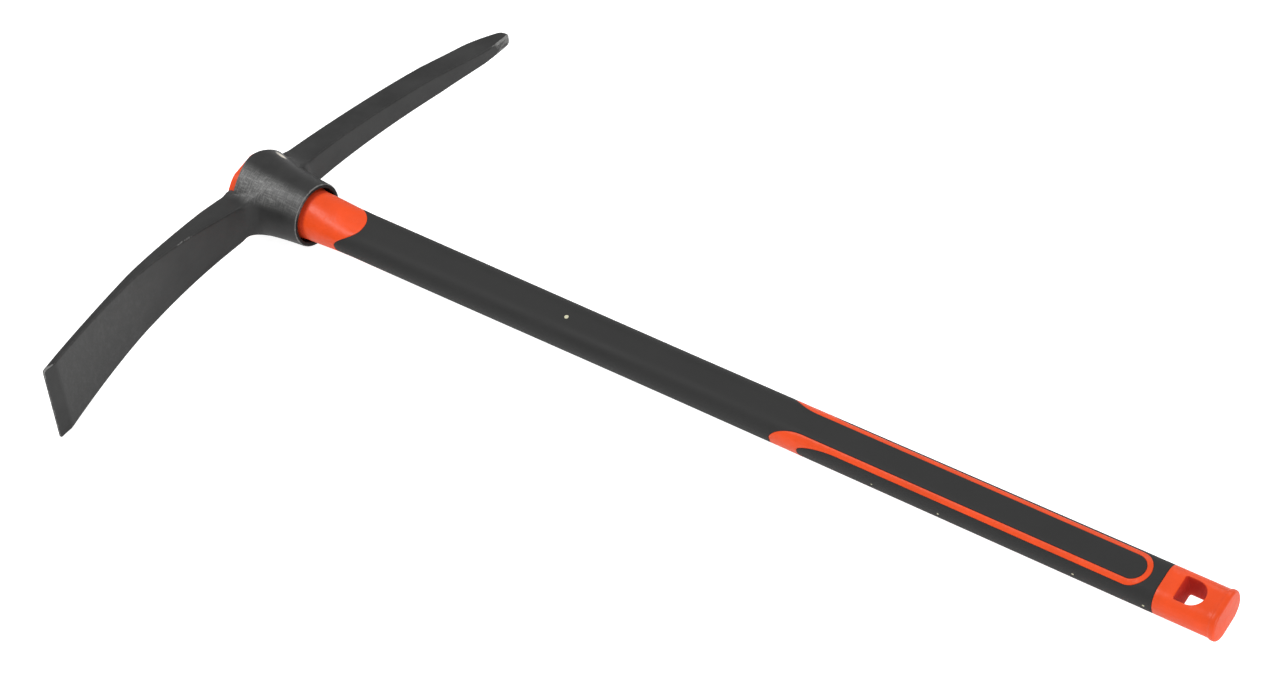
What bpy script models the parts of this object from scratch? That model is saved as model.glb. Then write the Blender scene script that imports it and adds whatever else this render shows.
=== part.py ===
"""Pickaxe: a forged head that slides down a fibreglass-cored handle.

The origin is the centre of the flat butt end of the handle. +Y runs up the handle to
the head, +X points along the pick arm, -X along the mattock arm, and +Z is square to
both arms. The handle sits turned a little in its round eye, so its upper broad face
leans towards the mattock arm. All sizes are in metres.
"""

import math

import bmesh
import bpy
from mathutils import Vector

# Whole tool
HANDLE_LENGTH = 0.902
HANDLE_TURN_IN_EYE = math.radians(14.3)
PIECE_GAP = 0.0003

# Eye of the head: a cone, wider at the head end of the handle
EYE_LENGTH = 0.063
EYE_TOP_RADIUS = 0.036
EYE_MOUTH_RADIUS = 0.0272
EYE_WALL = 0.0036
EYE_EDGE_ROUND = 0.0012
EYE_CHEEK_RISE = 0.0021
EYE_CENTRE_RADIUS = 0.005

# Mattock arm, measured outwards from the handle's axis
MATTOCK_REACH = 0.283
MATTOCK_ARC_RADIUS = 0.702
MATTOCK_CREST_OUT = 0.072
MATTOCK_CREST_BELOW_EYE_TOP = 0.0047
MATTOCK_ROOT_OUT = 0.042
MATTOCK_ROOT_ABOVE_EYE_TOP = 0.0055
MATTOCK_ROOT_WIDTH = 0.0285
MATTOCK_ROOT_THICKNESS = 0.0255
MATTOCK_BLADE_OUT = 0.160
MATTOCK_BLADE_WIDTH = 0.053
MATTOCK_BLADE_THICKNESS = 0.0054
MATTOCK_EDGE_WIDTH = 0.070
MATTOCK_EDGE_THICKNESS = 0.0010
MATTOCK_BEVEL_LENGTH = 0.013
MATTOCK_CORNER_ROUND = 0.0025

# Pick arm
PICK_REACH = 0.2727
PICK_ARC_RADIUS = 1.000
PICK_CREST_BELOW_EYE_TOP = 0.0094
PICK_ROOT_OUT = 0.040
PICK_ROOT_WIDTH = 0.0252
PICK_ROOT_THICKNESS = 0.0255
PICK_SHANK_WIDTH = 0.0186
PICK_SHANK_THICKNESS = 0.0222
PICK_NARROWING_LENGTH = 0.083
PICK_POINT_LENGTH = 0.038
PICK_POINT_WIDTH = 0.0085
PICK_POINT_THICKNESS = 0.0050
PICK_TIP_ROUND = 0.0023

# Where the arms grow out of the eye
ARM_EDGE_ROUND = 0.0016
ARM_BUTT_SIDE_FILLET = 0.013
ARM_SIDE_FILLET = 0.008
ARM_ROOT_BLEND = 0.025

# Handle section: a rounded oblong, broad faces up and down
SHAFT_THICKNESS = 0.0274
SHAFT_CORNER_RADIUS = 0.0125
SHAFT_WIDTH_AT_COLLAR = 0.0389
SHAFT_WIDTH_AT_WAIST = 0.0371
SHAFT_WIDTH_AT_BUTT = 0.0380
WAIST_FROM_BUTT = 0.440

# Head end of the handle jacket
END_STANDS_OUT = 0.0075
END_CHAMFER = 0.0010
COLLAR_CLEARANCE = 0.0028
COLLAR_LENGTH = 0.050

# Soft sleeves on the jacket
SLEEVE_THICKNESS = 0.0016
SLEEVE_FACE_EDGE_FROM_MOUTH = 0.0540
SLEEVE_SIDE_EDGE_FROM_MOUTH = 0.0355
LEAF_TIP_FROM_BUTT = 0.3725
LEAF_LENGTH = 0.028
NOSE_FROM_BUTT = 0.3475
NOSE_LENGTH = 0.035
PANEL_HALF_WIDTH = 0.0104
STRIPE_WIDTH = 0.0045
LOOP_END_FROM_BUTT = 0.0585

# Fibreglass core
CORE_WIDTH = 0.0260
CORE_THICKNESS = 0.0160
CORE_CORNER_RADIUS = 0.0075
CORE_COVER_AT_END = 0.0060
CORE_DEPTH_IN_CAP = 0.0090

# Butt cap and its hanging hole
CAP_LENGTH = 0.0490
CAP_LIP_LENGTH = 0.0038
CAP_LIP_PROUD = 0.0006
CAP_LIP_SLOPE = 0.0010
CAP_END_CHAMFER = 0.0022
HANG_HOLE_WIDTH = 0.0212
HANG_HOLE_LENGTH = 0.0198
HANG_HOLE_FLAT_FROM_BUTT = 0.0359
HANG_HOLE_CORNER_RADIUS = 0.0015
HANG_HOLE_CHAMFER = 0.0008

# How finely curves are divided
SECTION_CORNER_STEPS = 8
ARM_CORNER_STEPS = 3
ARM_SIDE_STEPS = 3
EYE_STEPS = 64
OUTLINE_STEPS = 12
CUT_MARGIN = 0.010

# Places worked out from the sizes above
EYE_TOP_Y = HANDLE_LENGTH - END_STANDS_OUT
EYE_MOUTH_Y = EYE_TOP_Y - EYE_LENGTH
BORE_TOP_RADIUS = EYE_TOP_RADIUS - EYE_WALL
BORE_MOUTH_RADIUS = EYE_MOUTH_RADIUS - EYE_WALL
COLLAR_END_Y = EYE_MOUTH_Y - COLLAR_LENGTH
SLEEVE_FACE_EDGE_Y = EYE_MOUTH_Y - SLEEVE_FACE_EDGE_FROM_MOUTH
SLEEVE_SIDE_EDGE_Y = EYE_MOUTH_Y - SLEEVE_SIDE_EDGE_FROM_MOUTH
STRIPE_HALF_WIDTH = PANEL_HALF_WIDTH + STRIPE_WIDTH
LOOP_CENTRE_Y = LOOP_END_FROM_BUTT + STRIPE_HALF_WIDTH
JACKET_END_Y = CAP_LENGTH + PIECE_GAP
CORE_BUTT_Y = CAP_LENGTH - CORE_DEPTH_IN_CAP
CORE_HEAD_Y = HANDLE_LENGTH - CORE_COVER_AT_END


def clear_scene():
    for item in list(bpy.data.objects):
        bpy.data.objects.remove(item, do_unlink=True)


def new_collection(name):
    group = bpy.data.collections.new(name)
    bpy.context.scene.collection.children.link(group)
    return group


def new_parent(name, group):
    empty = bpy.data.objects.new(name, None)
    group.objects.link(empty)
    return empty


def new_material(name, colour, roughness, metallic):
    material = bpy.data.materials.new(name)
    material.use_nodes = True
    shader = material.node_tree.nodes["Principled BSDF"]
    shader.inputs["Base Color"].default_value = (*colour, 1.0)
    shader.inputs["Roughness"].default_value = roughness
    shader.inputs["Metallic"].default_value = metallic
    return material


def add_part(name, mesh, group, parent, material):
    """Place a finished mesh in the parts collection under its parent empty."""
    mesh.materials.append(material)
    mesh.shade_smooth()
    mesh.set_sharp_from_angle(angle=math.radians(35))
    part = bpy.data.objects.new(name, mesh)
    part.parent = parent
    group.objects.link(part)
    return part


def add_form(name, mesh, group, parent):
    """Place a shape that is only used to add to, or cut, a part."""
    form = bpy.data.objects.new(name, mesh)
    form.hide_render = True
    form.display_type = "WIRE"
    form.parent = parent
    group.objects.link(form)
    return form


def boolean(target, operation, other):
    modifier = target.modifiers.new(f"{operation.lower()} {other.name}", "BOOLEAN")
    modifier.operation = operation
    modifier.solver = "EXACT"
    modifier.object = other


def clamped(share):
    return min(max(share, 0.0), 1.0)


def smooth(share):
    """Ease from 0 to 1 without a corner at either end."""
    share = clamped(share)
    return share * share * (3.0 - 2.0 * share)


def spaced(start, end, steps):
    return [start + (end - start) * step / steps for step in range(steps + 1)]


def oblong_ring(width, height, corner, corner_steps, side_steps=0, squareness=1.0):
    """Points round a rounded oblong, eased towards an ellipse as squareness falls to 0."""
    corner = min(corner, 0.48 * width, 0.48 * height)
    points = []
    for quarter in range(4):
        right = 1 if quarter in (0, 3) else -1
        upper = 1 if quarter in (0, 1) else -1
        for step in range(corner_steps + 1):
            angle = math.radians(90 * (quarter + step / corner_steps))
            even_angle = math.radians(90 * (quarter + (step + 0.5) / (corner_steps + 1)))
            square = Vector((
                right * (width / 2 - corner) + corner * math.cos(angle),
                upper * (height / 2 - corner) + corner * math.sin(angle),
            ))
            oval = Vector((width / 2 * math.cos(even_angle), height / 2 * math.sin(even_angle)))
            points.append(oval.lerp(square, squareness))
    return with_side_points(points, corner_steps + 1, side_steps)


def with_side_points(corners, corner_count, side_steps):
    """Add evenly spaced points on each straight side between two corners."""
    points = []
    for quarter in range(4):
        last = (quarter + 1) * corner_count
        points += corners[quarter * corner_count:last]
        start = corners[last - 1]
        end = corners[last % len(corners)]
        for step in range(side_steps):
            points.append(start.lerp(end, (step + 1) / (side_steps + 1)))
    return points


def loft(name, rings):
    """Skin a row of rings that have the same number of points, and close both ends."""
    shape = bmesh.new()
    loops = [[shape.verts.new(point) for point in ring] for ring in rings]
    for near, far in zip(loops, loops[1:]):
        for index in range(len(near)):
            shape.faces.new((near[index - 1], near[index], far[index], far[index - 1]))
    shape.faces.new(loops[0])
    shape.faces.new(loops[-1])
    bmesh.ops.recalc_face_normals(shape, faces=shape.faces)
    mesh = bpy.data.meshes.new(name)
    shape.to_mesh(mesh)
    shape.free()
    return mesh


def turned(name, profile, group, parent):
    """Spin a profile, given as radius and height over the eye's top, about the eye's axis."""
    mesh = bpy.data.meshes.new(name)
    points = [(radius, 0.0, height) for radius, height in profile]
    edges = [(index, index + 1) for index in range(len(points) - 1)]
    mesh.from_pydata(points, edges, [])
    form = add_form(name, mesh, group, parent)
    form.rotation_euler.x = -math.pi / 2
    screw = form.modifiers.new("turn", "SCREW")
    screw.axis = "Z"
    screw.angle = 2 * math.pi
    screw.steps = EYE_STEPS
    screw.render_steps = EYE_STEPS
    screw.use_merge_vertices = True
    screw.merge_threshold = 0.00001
    screw.use_smooth_shade = True
    return form


def upright_prism(name, outlines, group, parent):
    """Stand flat outlines, seen from above the broad face, up through the handle."""
    curve = bpy.data.curves.new(name, "CURVE")
    curve.dimensions = "2D"
    curve.fill_mode = "BOTH"
    curve.extrude = SHAFT_THICKNESS
    for outline in outlines:
        spline = curve.splines.new("POLY")
        spline.points.add(len(outline) - 1)
        for point, (x, y) in zip(spline.points, outline):
            point.co = (x, y, 0.0, 1.0)
        spline.use_cyclic_u = True
    source = bpy.data.objects.new(name, curve)
    group.objects.link(source)
    mesh = bpy.data.meshes.new_from_object(source.evaluated_get(bpy.context.evaluated_depsgraph_get()))
    bpy.data.objects.remove(source, do_unlink=True)
    solid = bmesh.new()
    solid.from_mesh(mesh)
    bmesh.ops.remove_doubles(solid, verts=solid.verts, dist=0.00001)
    bmesh.ops.recalc_face_normals(solid, faces=solid.faces)
    solid.to_mesh(mesh)
    solid.free()
    return add_form(name, mesh, group, parent)


def eye_radius(below_top):
    """Outer radius of the eye at a distance below its top."""
    return EYE_TOP_RADIUS + (EYE_MOUTH_RADIUS - EYE_TOP_RADIUS) * below_top / EYE_LENGTH


def eye_ring(radius, below_top):
    """Ring of the eye's outside. The end at the top stands higher over the two cheeks."""
    points = []
    for step in range(EYE_STEPS):
        angle = 2 * math.pi * step / EYE_STEPS
        up = radius * math.sin(angle)
        rise = EYE_CHEEK_RISE * (up / EYE_TOP_RADIUS) ** 2 * (1.0 - clamped(2 * below_top / EYE_LENGTH))
        points.append(Vector((radius * math.cos(angle), rise - below_top, up)))
    return points


def fillet_growth(distance_in, radius):
    """How far a fillet of this radius has widened an arm, this far into the fillet."""
    distance_in = min(max(distance_in, 0.0), 0.97 * radius)
    return radius - math.sqrt(radius * radius - distance_in * distance_in)


def arm_ring(side, out, y_top, y_butt, width):
    """Section across an arm. Near the eye it widens and bends round the eye's wall."""
    wall = eye_radius(ARM_BUTT_SIDE_FILLET - y_butt)
    y_butt = y_butt - fillet_growth(wall + ARM_BUTT_SIDE_FILLET - out, ARM_BUTT_SIDE_FILLET)
    width = width + 2 * fillet_growth(wall + ARM_SIDE_FILLET - out, ARM_SIDE_FILLET)
    bend = 1.0 - smooth((out - wall - ARM_BUTT_SIDE_FILLET) / ARM_ROOT_BLEND)
    points = []
    for along, up in oblong_ring(y_top - y_butt, width, ARM_EDGE_ROUND, ARM_CORNER_STEPS, ARM_SIDE_STEPS):
        set_back = wall - math.sqrt(max(wall * wall - up * up, 0.0))
        points.append(Vector((side * (out - bend * set_back), (y_top + y_butt) / 2 + along, up)))
    return points


def mattock_width(out):
    if out < MATTOCK_BLADE_OUT:
        share = clamped((out - MATTOCK_ROOT_OUT) / (MATTOCK_BLADE_OUT - MATTOCK_ROOT_OUT))
        spread = 1.0 - (1.0 - share) ** 1.45
        return MATTOCK_ROOT_WIDTH + (MATTOCK_BLADE_WIDTH - MATTOCK_ROOT_WIDTH) * spread
    share = (out - MATTOCK_BLADE_OUT) / (MATTOCK_REACH - MATTOCK_BLADE_OUT)
    width = MATTOCK_BLADE_WIDTH + (MATTOCK_EDGE_WIDTH - MATTOCK_BLADE_WIDTH) * share ** 1.3
    into_corner = out - (MATTOCK_REACH - MATTOCK_CORNER_ROUND)
    return width - 2 * fillet_growth(into_corner, MATTOCK_CORNER_ROUND)


def mattock_ring(out):
    """The arm thins to a blade that curves to the butt and is bevelled on that side."""
    from_crest = out - MATTOCK_CREST_OUT
    drop = MATTOCK_ARC_RADIUS - math.sqrt(MATTOCK_ARC_RADIUS ** 2 - from_crest ** 2)
    middle = -MATTOCK_CREST_BELOW_EYE_TOP - drop
    share = clamped((out - MATTOCK_ROOT_OUT) / (MATTOCK_REACH - MATTOCK_ROOT_OUT))
    thinning = (MATTOCK_ROOT_THICKNESS - MATTOCK_BLADE_THICKNESS) * (1.0 - share) ** 3
    thickness = MATTOCK_BLADE_THICKNESS + thinning
    y_top = min(middle + thickness / 2, MATTOCK_ROOT_ABOVE_EYE_TOP)
    y_butt = middle - thickness / 2
    into_bevel = clamped((out - (MATTOCK_REACH - MATTOCK_BEVEL_LENGTH)) / MATTOCK_BEVEL_LENGTH)
    y_butt += (MATTOCK_BLADE_THICKNESS - MATTOCK_EDGE_THICKNESS) * into_bevel
    return arm_ring(-1, out, y_top, y_butt, mattock_width(out))


def pick_ring(out):
    """The arm is a curved square bar that tapers to a blunt point."""
    middle = -PICK_CREST_BELOW_EYE_TOP - PICK_ARC_RADIUS + math.sqrt(PICK_ARC_RADIUS ** 2 - out ** 2)
    narrowing_out = PICK_REACH - PICK_NARROWING_LENGTH
    along_shank = clamped((out - PICK_ROOT_OUT) / (narrowing_out - PICK_ROOT_OUT))
    width = PICK_ROOT_WIDTH + (PICK_SHANK_WIDTH - PICK_ROOT_WIDTH) * along_shank
    into_narrowing = clamped((out - narrowing_out) / PICK_NARROWING_LENGTH)
    width = PICK_POINT_WIDTH + (width - PICK_POINT_WIDTH) * (1.0 - into_narrowing) ** 1.5
    root_swell = (PICK_ROOT_THICKNESS - PICK_SHANK_THICKNESS) * (1.0 - along_shank) ** 4
    into_point = clamped((out - (PICK_REACH - PICK_POINT_LENGTH)) / PICK_POINT_LENGTH)
    point_loss = (PICK_SHANK_THICKNESS - PICK_POINT_THICKNESS) * into_point ** 1.6
    thickness = PICK_SHANK_THICKNESS + root_swell - point_loss
    tip_loss = 2 * fillet_growth(out - (PICK_REACH - PICK_TIP_ROUND), PICK_TIP_ROUND)
    half = (thickness - tip_loss) / 2
    return arm_ring(1, out, middle + half, middle - half, width - tip_loss)


def arm_stations(reach, point_length, tip_length):
    """Places along an arm: close together at the root and the tip, wider between."""
    root_end = EYE_TOP_RADIUS + ARM_BUTT_SIDE_FILLET
    root = spaced(BORE_MOUTH_RADIUS, root_end, 10)
    shank = spaced(root_end, reach - point_length, 13)
    point = spaced(reach - point_length, reach - tip_length, 4)
    tip = spaced(reach - tip_length, reach, 3)
    return root + shank[1:] + point[1:] + tip[1:]


def make_head(parts, forms, parent):
    """One forging: an eye with a mattock arm on one side and a pick arm on the other."""
    steel = new_material("black lacquered steel", (0.030, 0.031, 0.032), 0.42, 0.35)
    stations = arm_stations(MATTOCK_REACH, MATTOCK_BEVEL_LENGTH, MATTOCK_CORNER_ROUND)
    mattock = loft("forged_head", [mattock_ring(out) for out in stations])
    head = add_part("forged_head", mattock, parts, parent, steel)

    stations = arm_stations(PICK_REACH, PICK_POINT_LENGTH, PICK_TIP_ROUND)
    pick = add_form("pick_arm_form", loft("pick_arm_form", [pick_ring(out) for out in stations]), forms, parent)

    edge = EYE_EDGE_ROUND
    rings = [
        eye_ring(EYE_CENTRE_RADIUS, 0.0),
        eye_ring(EYE_TOP_RADIUS - edge, 0.0),
        eye_ring(EYE_TOP_RADIUS - 0.3 * edge, 0.3 * edge),
        eye_ring(EYE_TOP_RADIUS, edge),
        eye_ring((EYE_TOP_RADIUS + EYE_MOUTH_RADIUS) / 2, EYE_LENGTH / 2),
        eye_ring(EYE_MOUTH_RADIUS, EYE_LENGTH - edge),
        eye_ring(EYE_MOUTH_RADIUS - 0.3 * edge, EYE_LENGTH - 0.3 * edge),
        eye_ring(EYE_MOUTH_RADIUS - edge, EYE_LENGTH),
    ]
    eye = add_form("eye_form", loft("eye_form", rings), forms, parent)

    taper = (BORE_TOP_RADIUS - BORE_MOUTH_RADIUS) / EYE_LENGTH
    bore_profile = [
        (0.0, CUT_MARGIN),
        (BORE_TOP_RADIUS + taper * CUT_MARGIN, CUT_MARGIN),
        (BORE_MOUTH_RADIUS - taper * CUT_MARGIN, -EYE_LENGTH - CUT_MARGIN),
        (0.0, -EYE_LENGTH - CUT_MARGIN),
    ]
    bore = turned("eye_bore_form", bore_profile, forms, parent)

    boolean(head, "UNION", eye)
    boolean(head, "UNION", pick)
    boolean(head, "DIFFERENCE", bore)


def shaft_width(y):
    """The shaft is slimmest at its waist and widens gently both ways."""
    if y > WAIST_FROM_BUTT:
        share = (y - WAIST_FROM_BUTT) / (SLEEVE_FACE_EDGE_Y - WAIST_FROM_BUTT)
        return SHAFT_WIDTH_AT_WAIST + (SHAFT_WIDTH_AT_COLLAR - SHAFT_WIDTH_AT_WAIST) * smooth(share)
    share = (WAIST_FROM_BUTT - y) / (WAIST_FROM_BUTT - CAP_LENGTH)
    return SHAFT_WIDTH_AT_WAIST + (SHAFT_WIDTH_AT_BUTT - SHAFT_WIDTH_AT_WAIST) * smooth(share)


def handle_ring(y, inset=0.0):
    """Section of the handle below the eye: oblong, and round where it meets the eye."""
    mouth_diameter = 2 * (BORE_MOUTH_RADIUS - COLLAR_CLEARANCE)
    oblong = smooth((EYE_MOUTH_Y - y) / COLLAR_LENGTH)
    width = mouth_diameter + (shaft_width(y) - mouth_diameter) * oblong - 2 * inset
    thickness = mouth_diameter + (SHAFT_THICKNESS - mouth_diameter) * oblong - 2 * inset
    corner = SHAFT_CORNER_RADIUS - inset
    ring = oblong_ring(width, thickness, corner, SECTION_CORNER_STEPS, squareness=oblong)
    return [Vector((across, y, up)) for across, up in ring]


def flared_ring(y, radius):
    ring = oblong_ring(2 * radius, 2 * radius, radius, SECTION_CORNER_STEPS, squareness=0.0)
    return [Vector((across, y, up)) for across, up in ring]


def shank_stations(start, end):
    return spaced(start, end, max(2, round((end - start) / 0.045)))


def panel_edge(y, spare):
    """Half width of the long sleeve's face, from its leaf-shaped end down to the panel."""
    share = clamped((LEAF_TIP_FROM_BUTT - y) / LEAF_LENGTH)
    reach = SHAFT_WIDTH_AT_COLLAR / 2 - PANEL_HALF_WIDTH
    return PANEL_HALF_WIDTH + reach * (1.0 - share) ** 2 + spare


def stripe_edge(y, spare):
    """Half width to the outer side of the stripe, from the nose of the side grip down."""
    share = clamped((NOSE_FROM_BUTT - y) / NOSE_LENGTH)
    reach = SHAFT_WIDTH_AT_COLLAR / 2 - STRIPE_HALF_WIDTH
    return STRIPE_HALF_WIDTH + reach * (1.0 - share) ** 2 - spare


def loop_end(radius):
    """Quarter of the loop's round end, from its right side to its lowest point."""
    points = []
    for step in range(OUTLINE_STEPS + 1):
        angle = math.pi / 2 * step / OUTLINE_STEPS
        points.append((radius * math.cos(angle), LOOP_CENTRE_Y - radius * math.sin(angle)))
    return points


def sleeve_head_edge(spare):
    """Head end of the long sleeve, from the middle of the face out past the narrow side."""
    points = []
    for x in spaced(0.0, SHAFT_WIDTH_AT_COLLAR / 2, OUTLINE_STEPS):
        rise = (2 * x / SHAFT_WIDTH_AT_COLLAR) ** 3
        points.append((x, SLEEVE_FACE_EDGE_Y + (SLEEVE_SIDE_EDGE_Y - SLEEVE_FACE_EDGE_Y) * rise + spare))
    points.append((SHAFT_WIDTH_AT_COLLAR, SLEEVE_SIDE_EDGE_Y + spare))
    return points


def leaf_side(spare):
    """Right side of the long sleeve's lower part, from beyond the side down to the loop."""
    points = [(SHAFT_WIDTH_AT_COLLAR, LEAF_TIP_FROM_BUTT - spare)]
    for y in spaced(LEAF_TIP_FROM_BUTT, LEAF_TIP_FROM_BUTT - LEAF_LENGTH, OUTLINE_STEPS):
        points.append((panel_edge(y, spare), y - spare))
    return points + loop_end(PANEL_HALF_WIDTH + spare)


def nose_side(spare):
    """Right inner side of the side grip, from beyond the nose down round the loop."""
    points = [(SHAFT_WIDTH_AT_COLLAR, NOSE_FROM_BUTT + spare)]
    for y in spaced(NOSE_FROM_BUTT, NOSE_FROM_BUTT - NOSE_LENGTH, OUTLINE_STEPS):
        points.append((stripe_edge(y, spare), y + spare))
    return points + loop_end(STRIPE_HALF_WIDTH - spare)


def both_sides(right_half):
    """Close an outline whose right half runs from the handle's middle to its middle."""
    left_half = [(-x, y) for x, y in reversed(right_half[1:-1])]
    return right_half + left_half


def make_core(parts, parent):
    """Fibreglass rod from the cap to just under the head end."""
    fibreglass = new_material("fibreglass", (0.62, 0.60, 0.42), 0.50, 0.0)
    rings = []
    for y in (CORE_BUTT_Y, CORE_HEAD_Y):
        ring = oblong_ring(CORE_WIDTH, CORE_THICKNESS, CORE_CORNER_RADIUS, SECTION_CORNER_STEPS)
        rings.append([Vector((across, y, up)) for across, up in ring])
    return add_part("fibreglass_core", loft("fibreglass_core", rings), parts, parent, fibreglass)


def core_room(name, start, end, forms, parent):
    """Shape of the space that the core fills, with the gap round it."""
    gap = 2 * PIECE_GAP
    rings = []
    for y in (start, end):
        corner = CORE_CORNER_RADIUS + PIECE_GAP
        ring = oblong_ring(CORE_WIDTH + gap, CORE_THICKNESS + gap, corner, SECTION_CORNER_STEPS)
        rings.append([Vector((across, y, up)) for across, up in ring])
    return add_form(name, loft(name, rings), forms, parent)


def make_jacket(parts, forms, parent):
    """Orange plastic over the core: flared end, collar, shank and the raised bands."""
    orange = new_material("orange plastic", (0.95, 0.085, 0.022), 0.45, 0.0)
    under_sleeve = shank_stations(JACKET_END_Y, COLLAR_END_Y - PIECE_GAP)
    rings = [handle_ring(y, SLEEVE_THICKNESS) for y in under_sleeve]
    shank_end = SLEEVE_SIDE_EDGE_Y + 2 * SLEEVE_THICKNESS
    rings += [handle_ring(y, SLEEVE_THICKNESS) for y in spaced(COLLAR_END_Y, shank_end, 4)]
    jacket = add_part("handle_jacket", loft("handle_jacket", rings), parts, parent, orange)

    end_radius = BORE_TOP_RADIUS - PIECE_GAP
    outer = [handle_ring(y) for y in shank_stations(CAP_LENGTH, COLLAR_END_Y - PIECE_GAP)]
    outer += [handle_ring(y) for y in spaced(COLLAR_END_Y, EYE_MOUTH_Y, 9)]
    outer.append(flared_ring(EYE_TOP_Y, end_radius))
    outer.append(flared_ring(HANDLE_LENGTH - END_CHAMFER, end_radius))
    outer.append(flared_ring(HANDLE_LENGTH, end_radius - END_CHAMFER))
    bands = add_form("raised_bands_form", loft("raised_bands_form", outer), forms, parent)
    head_end = both_sides(sleeve_head_edge(PIECE_GAP) + [
        (SHAFT_WIDTH_AT_COLLAR, HANDLE_LENGTH + CUT_MARGIN),
        (0.0, HANDLE_LENGTH + CUT_MARGIN),
    ])
    inner_side = leaf_side(PIECE_GAP)
    outer_side = nose_side(PIECE_GAP)
    loops = inner_side + [(-x, y) for x, y in reversed(inner_side[:-1])]
    loops += [(-x, y) for x, y in outer_side] + list(reversed(outer_side[:-1]))
    plan = upright_prism("raised_bands_plan", [head_end, loops], forms, parent)
    boolean(bands, "INTERSECT", plan)
    boolean(jacket, "UNION", bands)
    room = core_room("jacket_core_room", JACKET_END_Y - CUT_MARGIN, CORE_HEAD_Y + PIECE_GAP, forms, parent)
    boolean(jacket, "DIFFERENCE", room)


def make_sleeve(name, start, end, outline, material, parts, forms, parent):
    """Soft sleeve: the outer handle shape inside a plan outline, hollowed for the shank."""
    below_collar = min(end, COLLAR_END_Y)
    places = shank_stations(start, below_collar)
    if end > COLLAR_END_Y:
        places += spaced(COLLAR_END_Y, end, 4)[1:]
    sleeve = add_part(name, loft(name, [handle_ring(y) for y in places]), parts, parent, material)
    plan = upright_prism(f"{name}_plan", [outline], forms, parent)
    shank = shank_stations(start - CUT_MARGIN, below_collar)
    if end > COLLAR_END_Y:
        shank += spaced(COLLAR_END_Y, end + CUT_MARGIN, 6)[1:]
    else:
        shank.append(end + CUT_MARGIN)
    rings = [handle_ring(y, SLEEVE_THICKNESS - PIECE_GAP) for y in shank]
    room = add_form(f"{name}_shank_room", loft(f"{name}_shank_room", rings), forms, parent)
    boolean(sleeve, "INTERSECT", plan)
    boolean(sleeve, "DIFFERENCE", room)


def make_sleeves(parts, forms, parent):
    """Black soft sleeves: the long one with its face panels, and the side strips."""
    rubber = new_material("black rubber", (0.045, 0.045, 0.046), 0.80, 0.0)
    long_outline = both_sides(sleeve_head_edge(0.0) + leaf_side(0.0))
    start = LOOP_END_FROM_BUTT - STRIPE_WIDTH
    end = SLEEVE_SIDE_EDGE_Y + SLEEVE_THICKNESS
    make_sleeve("shaft_sleeve", start, end, long_outline, rubber, parts, forms, parent)

    side_outline = nose_side(0.0)
    side_outline += [(-x, y) for x, y in reversed(side_outline[:-1])]
    side_outline += [(-SHAFT_WIDTH_AT_COLLAR, JACKET_END_Y), (SHAFT_WIDTH_AT_COLLAR, JACKET_END_Y)]
    start = JACKET_END_Y - SLEEVE_THICKNESS
    end = NOSE_FROM_BUTT + SLEEVE_THICKNESS
    make_sleeve("side_grip", start, end, side_outline, rubber, parts, forms, parent)


def hang_hole_ring(up, spread):
    """Outline of the hanging hole: a flat edge toward the head and a round butt end."""
    half = HANG_HOLE_WIDTH / 2 + spread
    flat_y = HANG_HOLE_FLAT_FROM_BUTT + spread
    centre_y = HANG_HOLE_FLAT_FROM_BUTT - HANG_HOLE_LENGTH + HANG_HOLE_WIDTH / 2
    corner = HANG_HOLE_CORNER_RADIUS + spread
    points = []
    for side, first_angle in ((1, 0), (-1, 90)):
        for step in range(5):
            angle = math.radians(first_angle + 90 * step / 4)
            x = side * (half - corner) + corner * math.cos(angle)
            points.append(Vector((x, flat_y - corner + corner * math.sin(angle), up)))
    for step in range(2 * OUTLINE_STEPS + 1):
        angle = math.pi * (1 + step / (2 * OUTLINE_STEPS))
        points.append(Vector((half * math.cos(angle), centre_y + half * math.sin(angle), up)))
    return points


def make_cap(parts, forms, parent):
    """Orange end cap with a socket for the core and a hanging hole through both faces."""
    orange = bpy.data.materials["orange plastic"]
    lip_start = CAP_LIP_LENGTH + CAP_LIP_SLOPE
    rings = [
        handle_ring(0.0, CAP_END_CHAMFER - CAP_LIP_PROUD),
        handle_ring(CAP_END_CHAMFER, -CAP_LIP_PROUD),
        handle_ring(CAP_LIP_LENGTH, -CAP_LIP_PROUD),
        handle_ring(lip_start),
        handle_ring((lip_start + CAP_LENGTH) / 2),
        handle_ring(CAP_LENGTH),
    ]
    cap = add_part("butt_cap", loft("butt_cap", rings), parts, parent, orange)
    socket = core_room("cap_core_room", CORE_BUTT_Y - PIECE_GAP, CAP_LENGTH + CUT_MARGIN, forms, parent)
    half = SHAFT_THICKNESS / 2
    margin = 4 * HANG_HOLE_CHAMFER
    hole_rings = [
        hang_hole_ring(-half - margin, HANG_HOLE_CHAMFER + margin),
        hang_hole_ring(-half + HANG_HOLE_CHAMFER, 0.0),
        hang_hole_ring(half - HANG_HOLE_CHAMFER, 0.0),
        hang_hole_ring(half + margin, HANG_HOLE_CHAMFER + margin),
    ]
    hole = add_form("hang_hole_form", loft("hang_hole_form", hole_rings), forms, parent)
    boolean(cap, "DIFFERENCE", socket)
    boolean(cap, "DIFFERENCE", hole)


def main():
    clear_scene()
    parts = new_collection("pickaxe")
    forms = new_collection("pickaxe_forms")
    handle = new_parent("handle", parts)
    handle.rotation_euler.y = -HANDLE_TURN_IN_EYE
    head_slide = new_parent("head_slide", parts)
    head_slide.location.y = EYE_TOP_Y
    make_head(parts, forms, head_slide)
    make_core(parts, handle)
    make_jacket(parts, forms, handle)
    make_sleeves(parts, forms, handle)
    make_cap(parts, forms, handle)


main()
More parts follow.
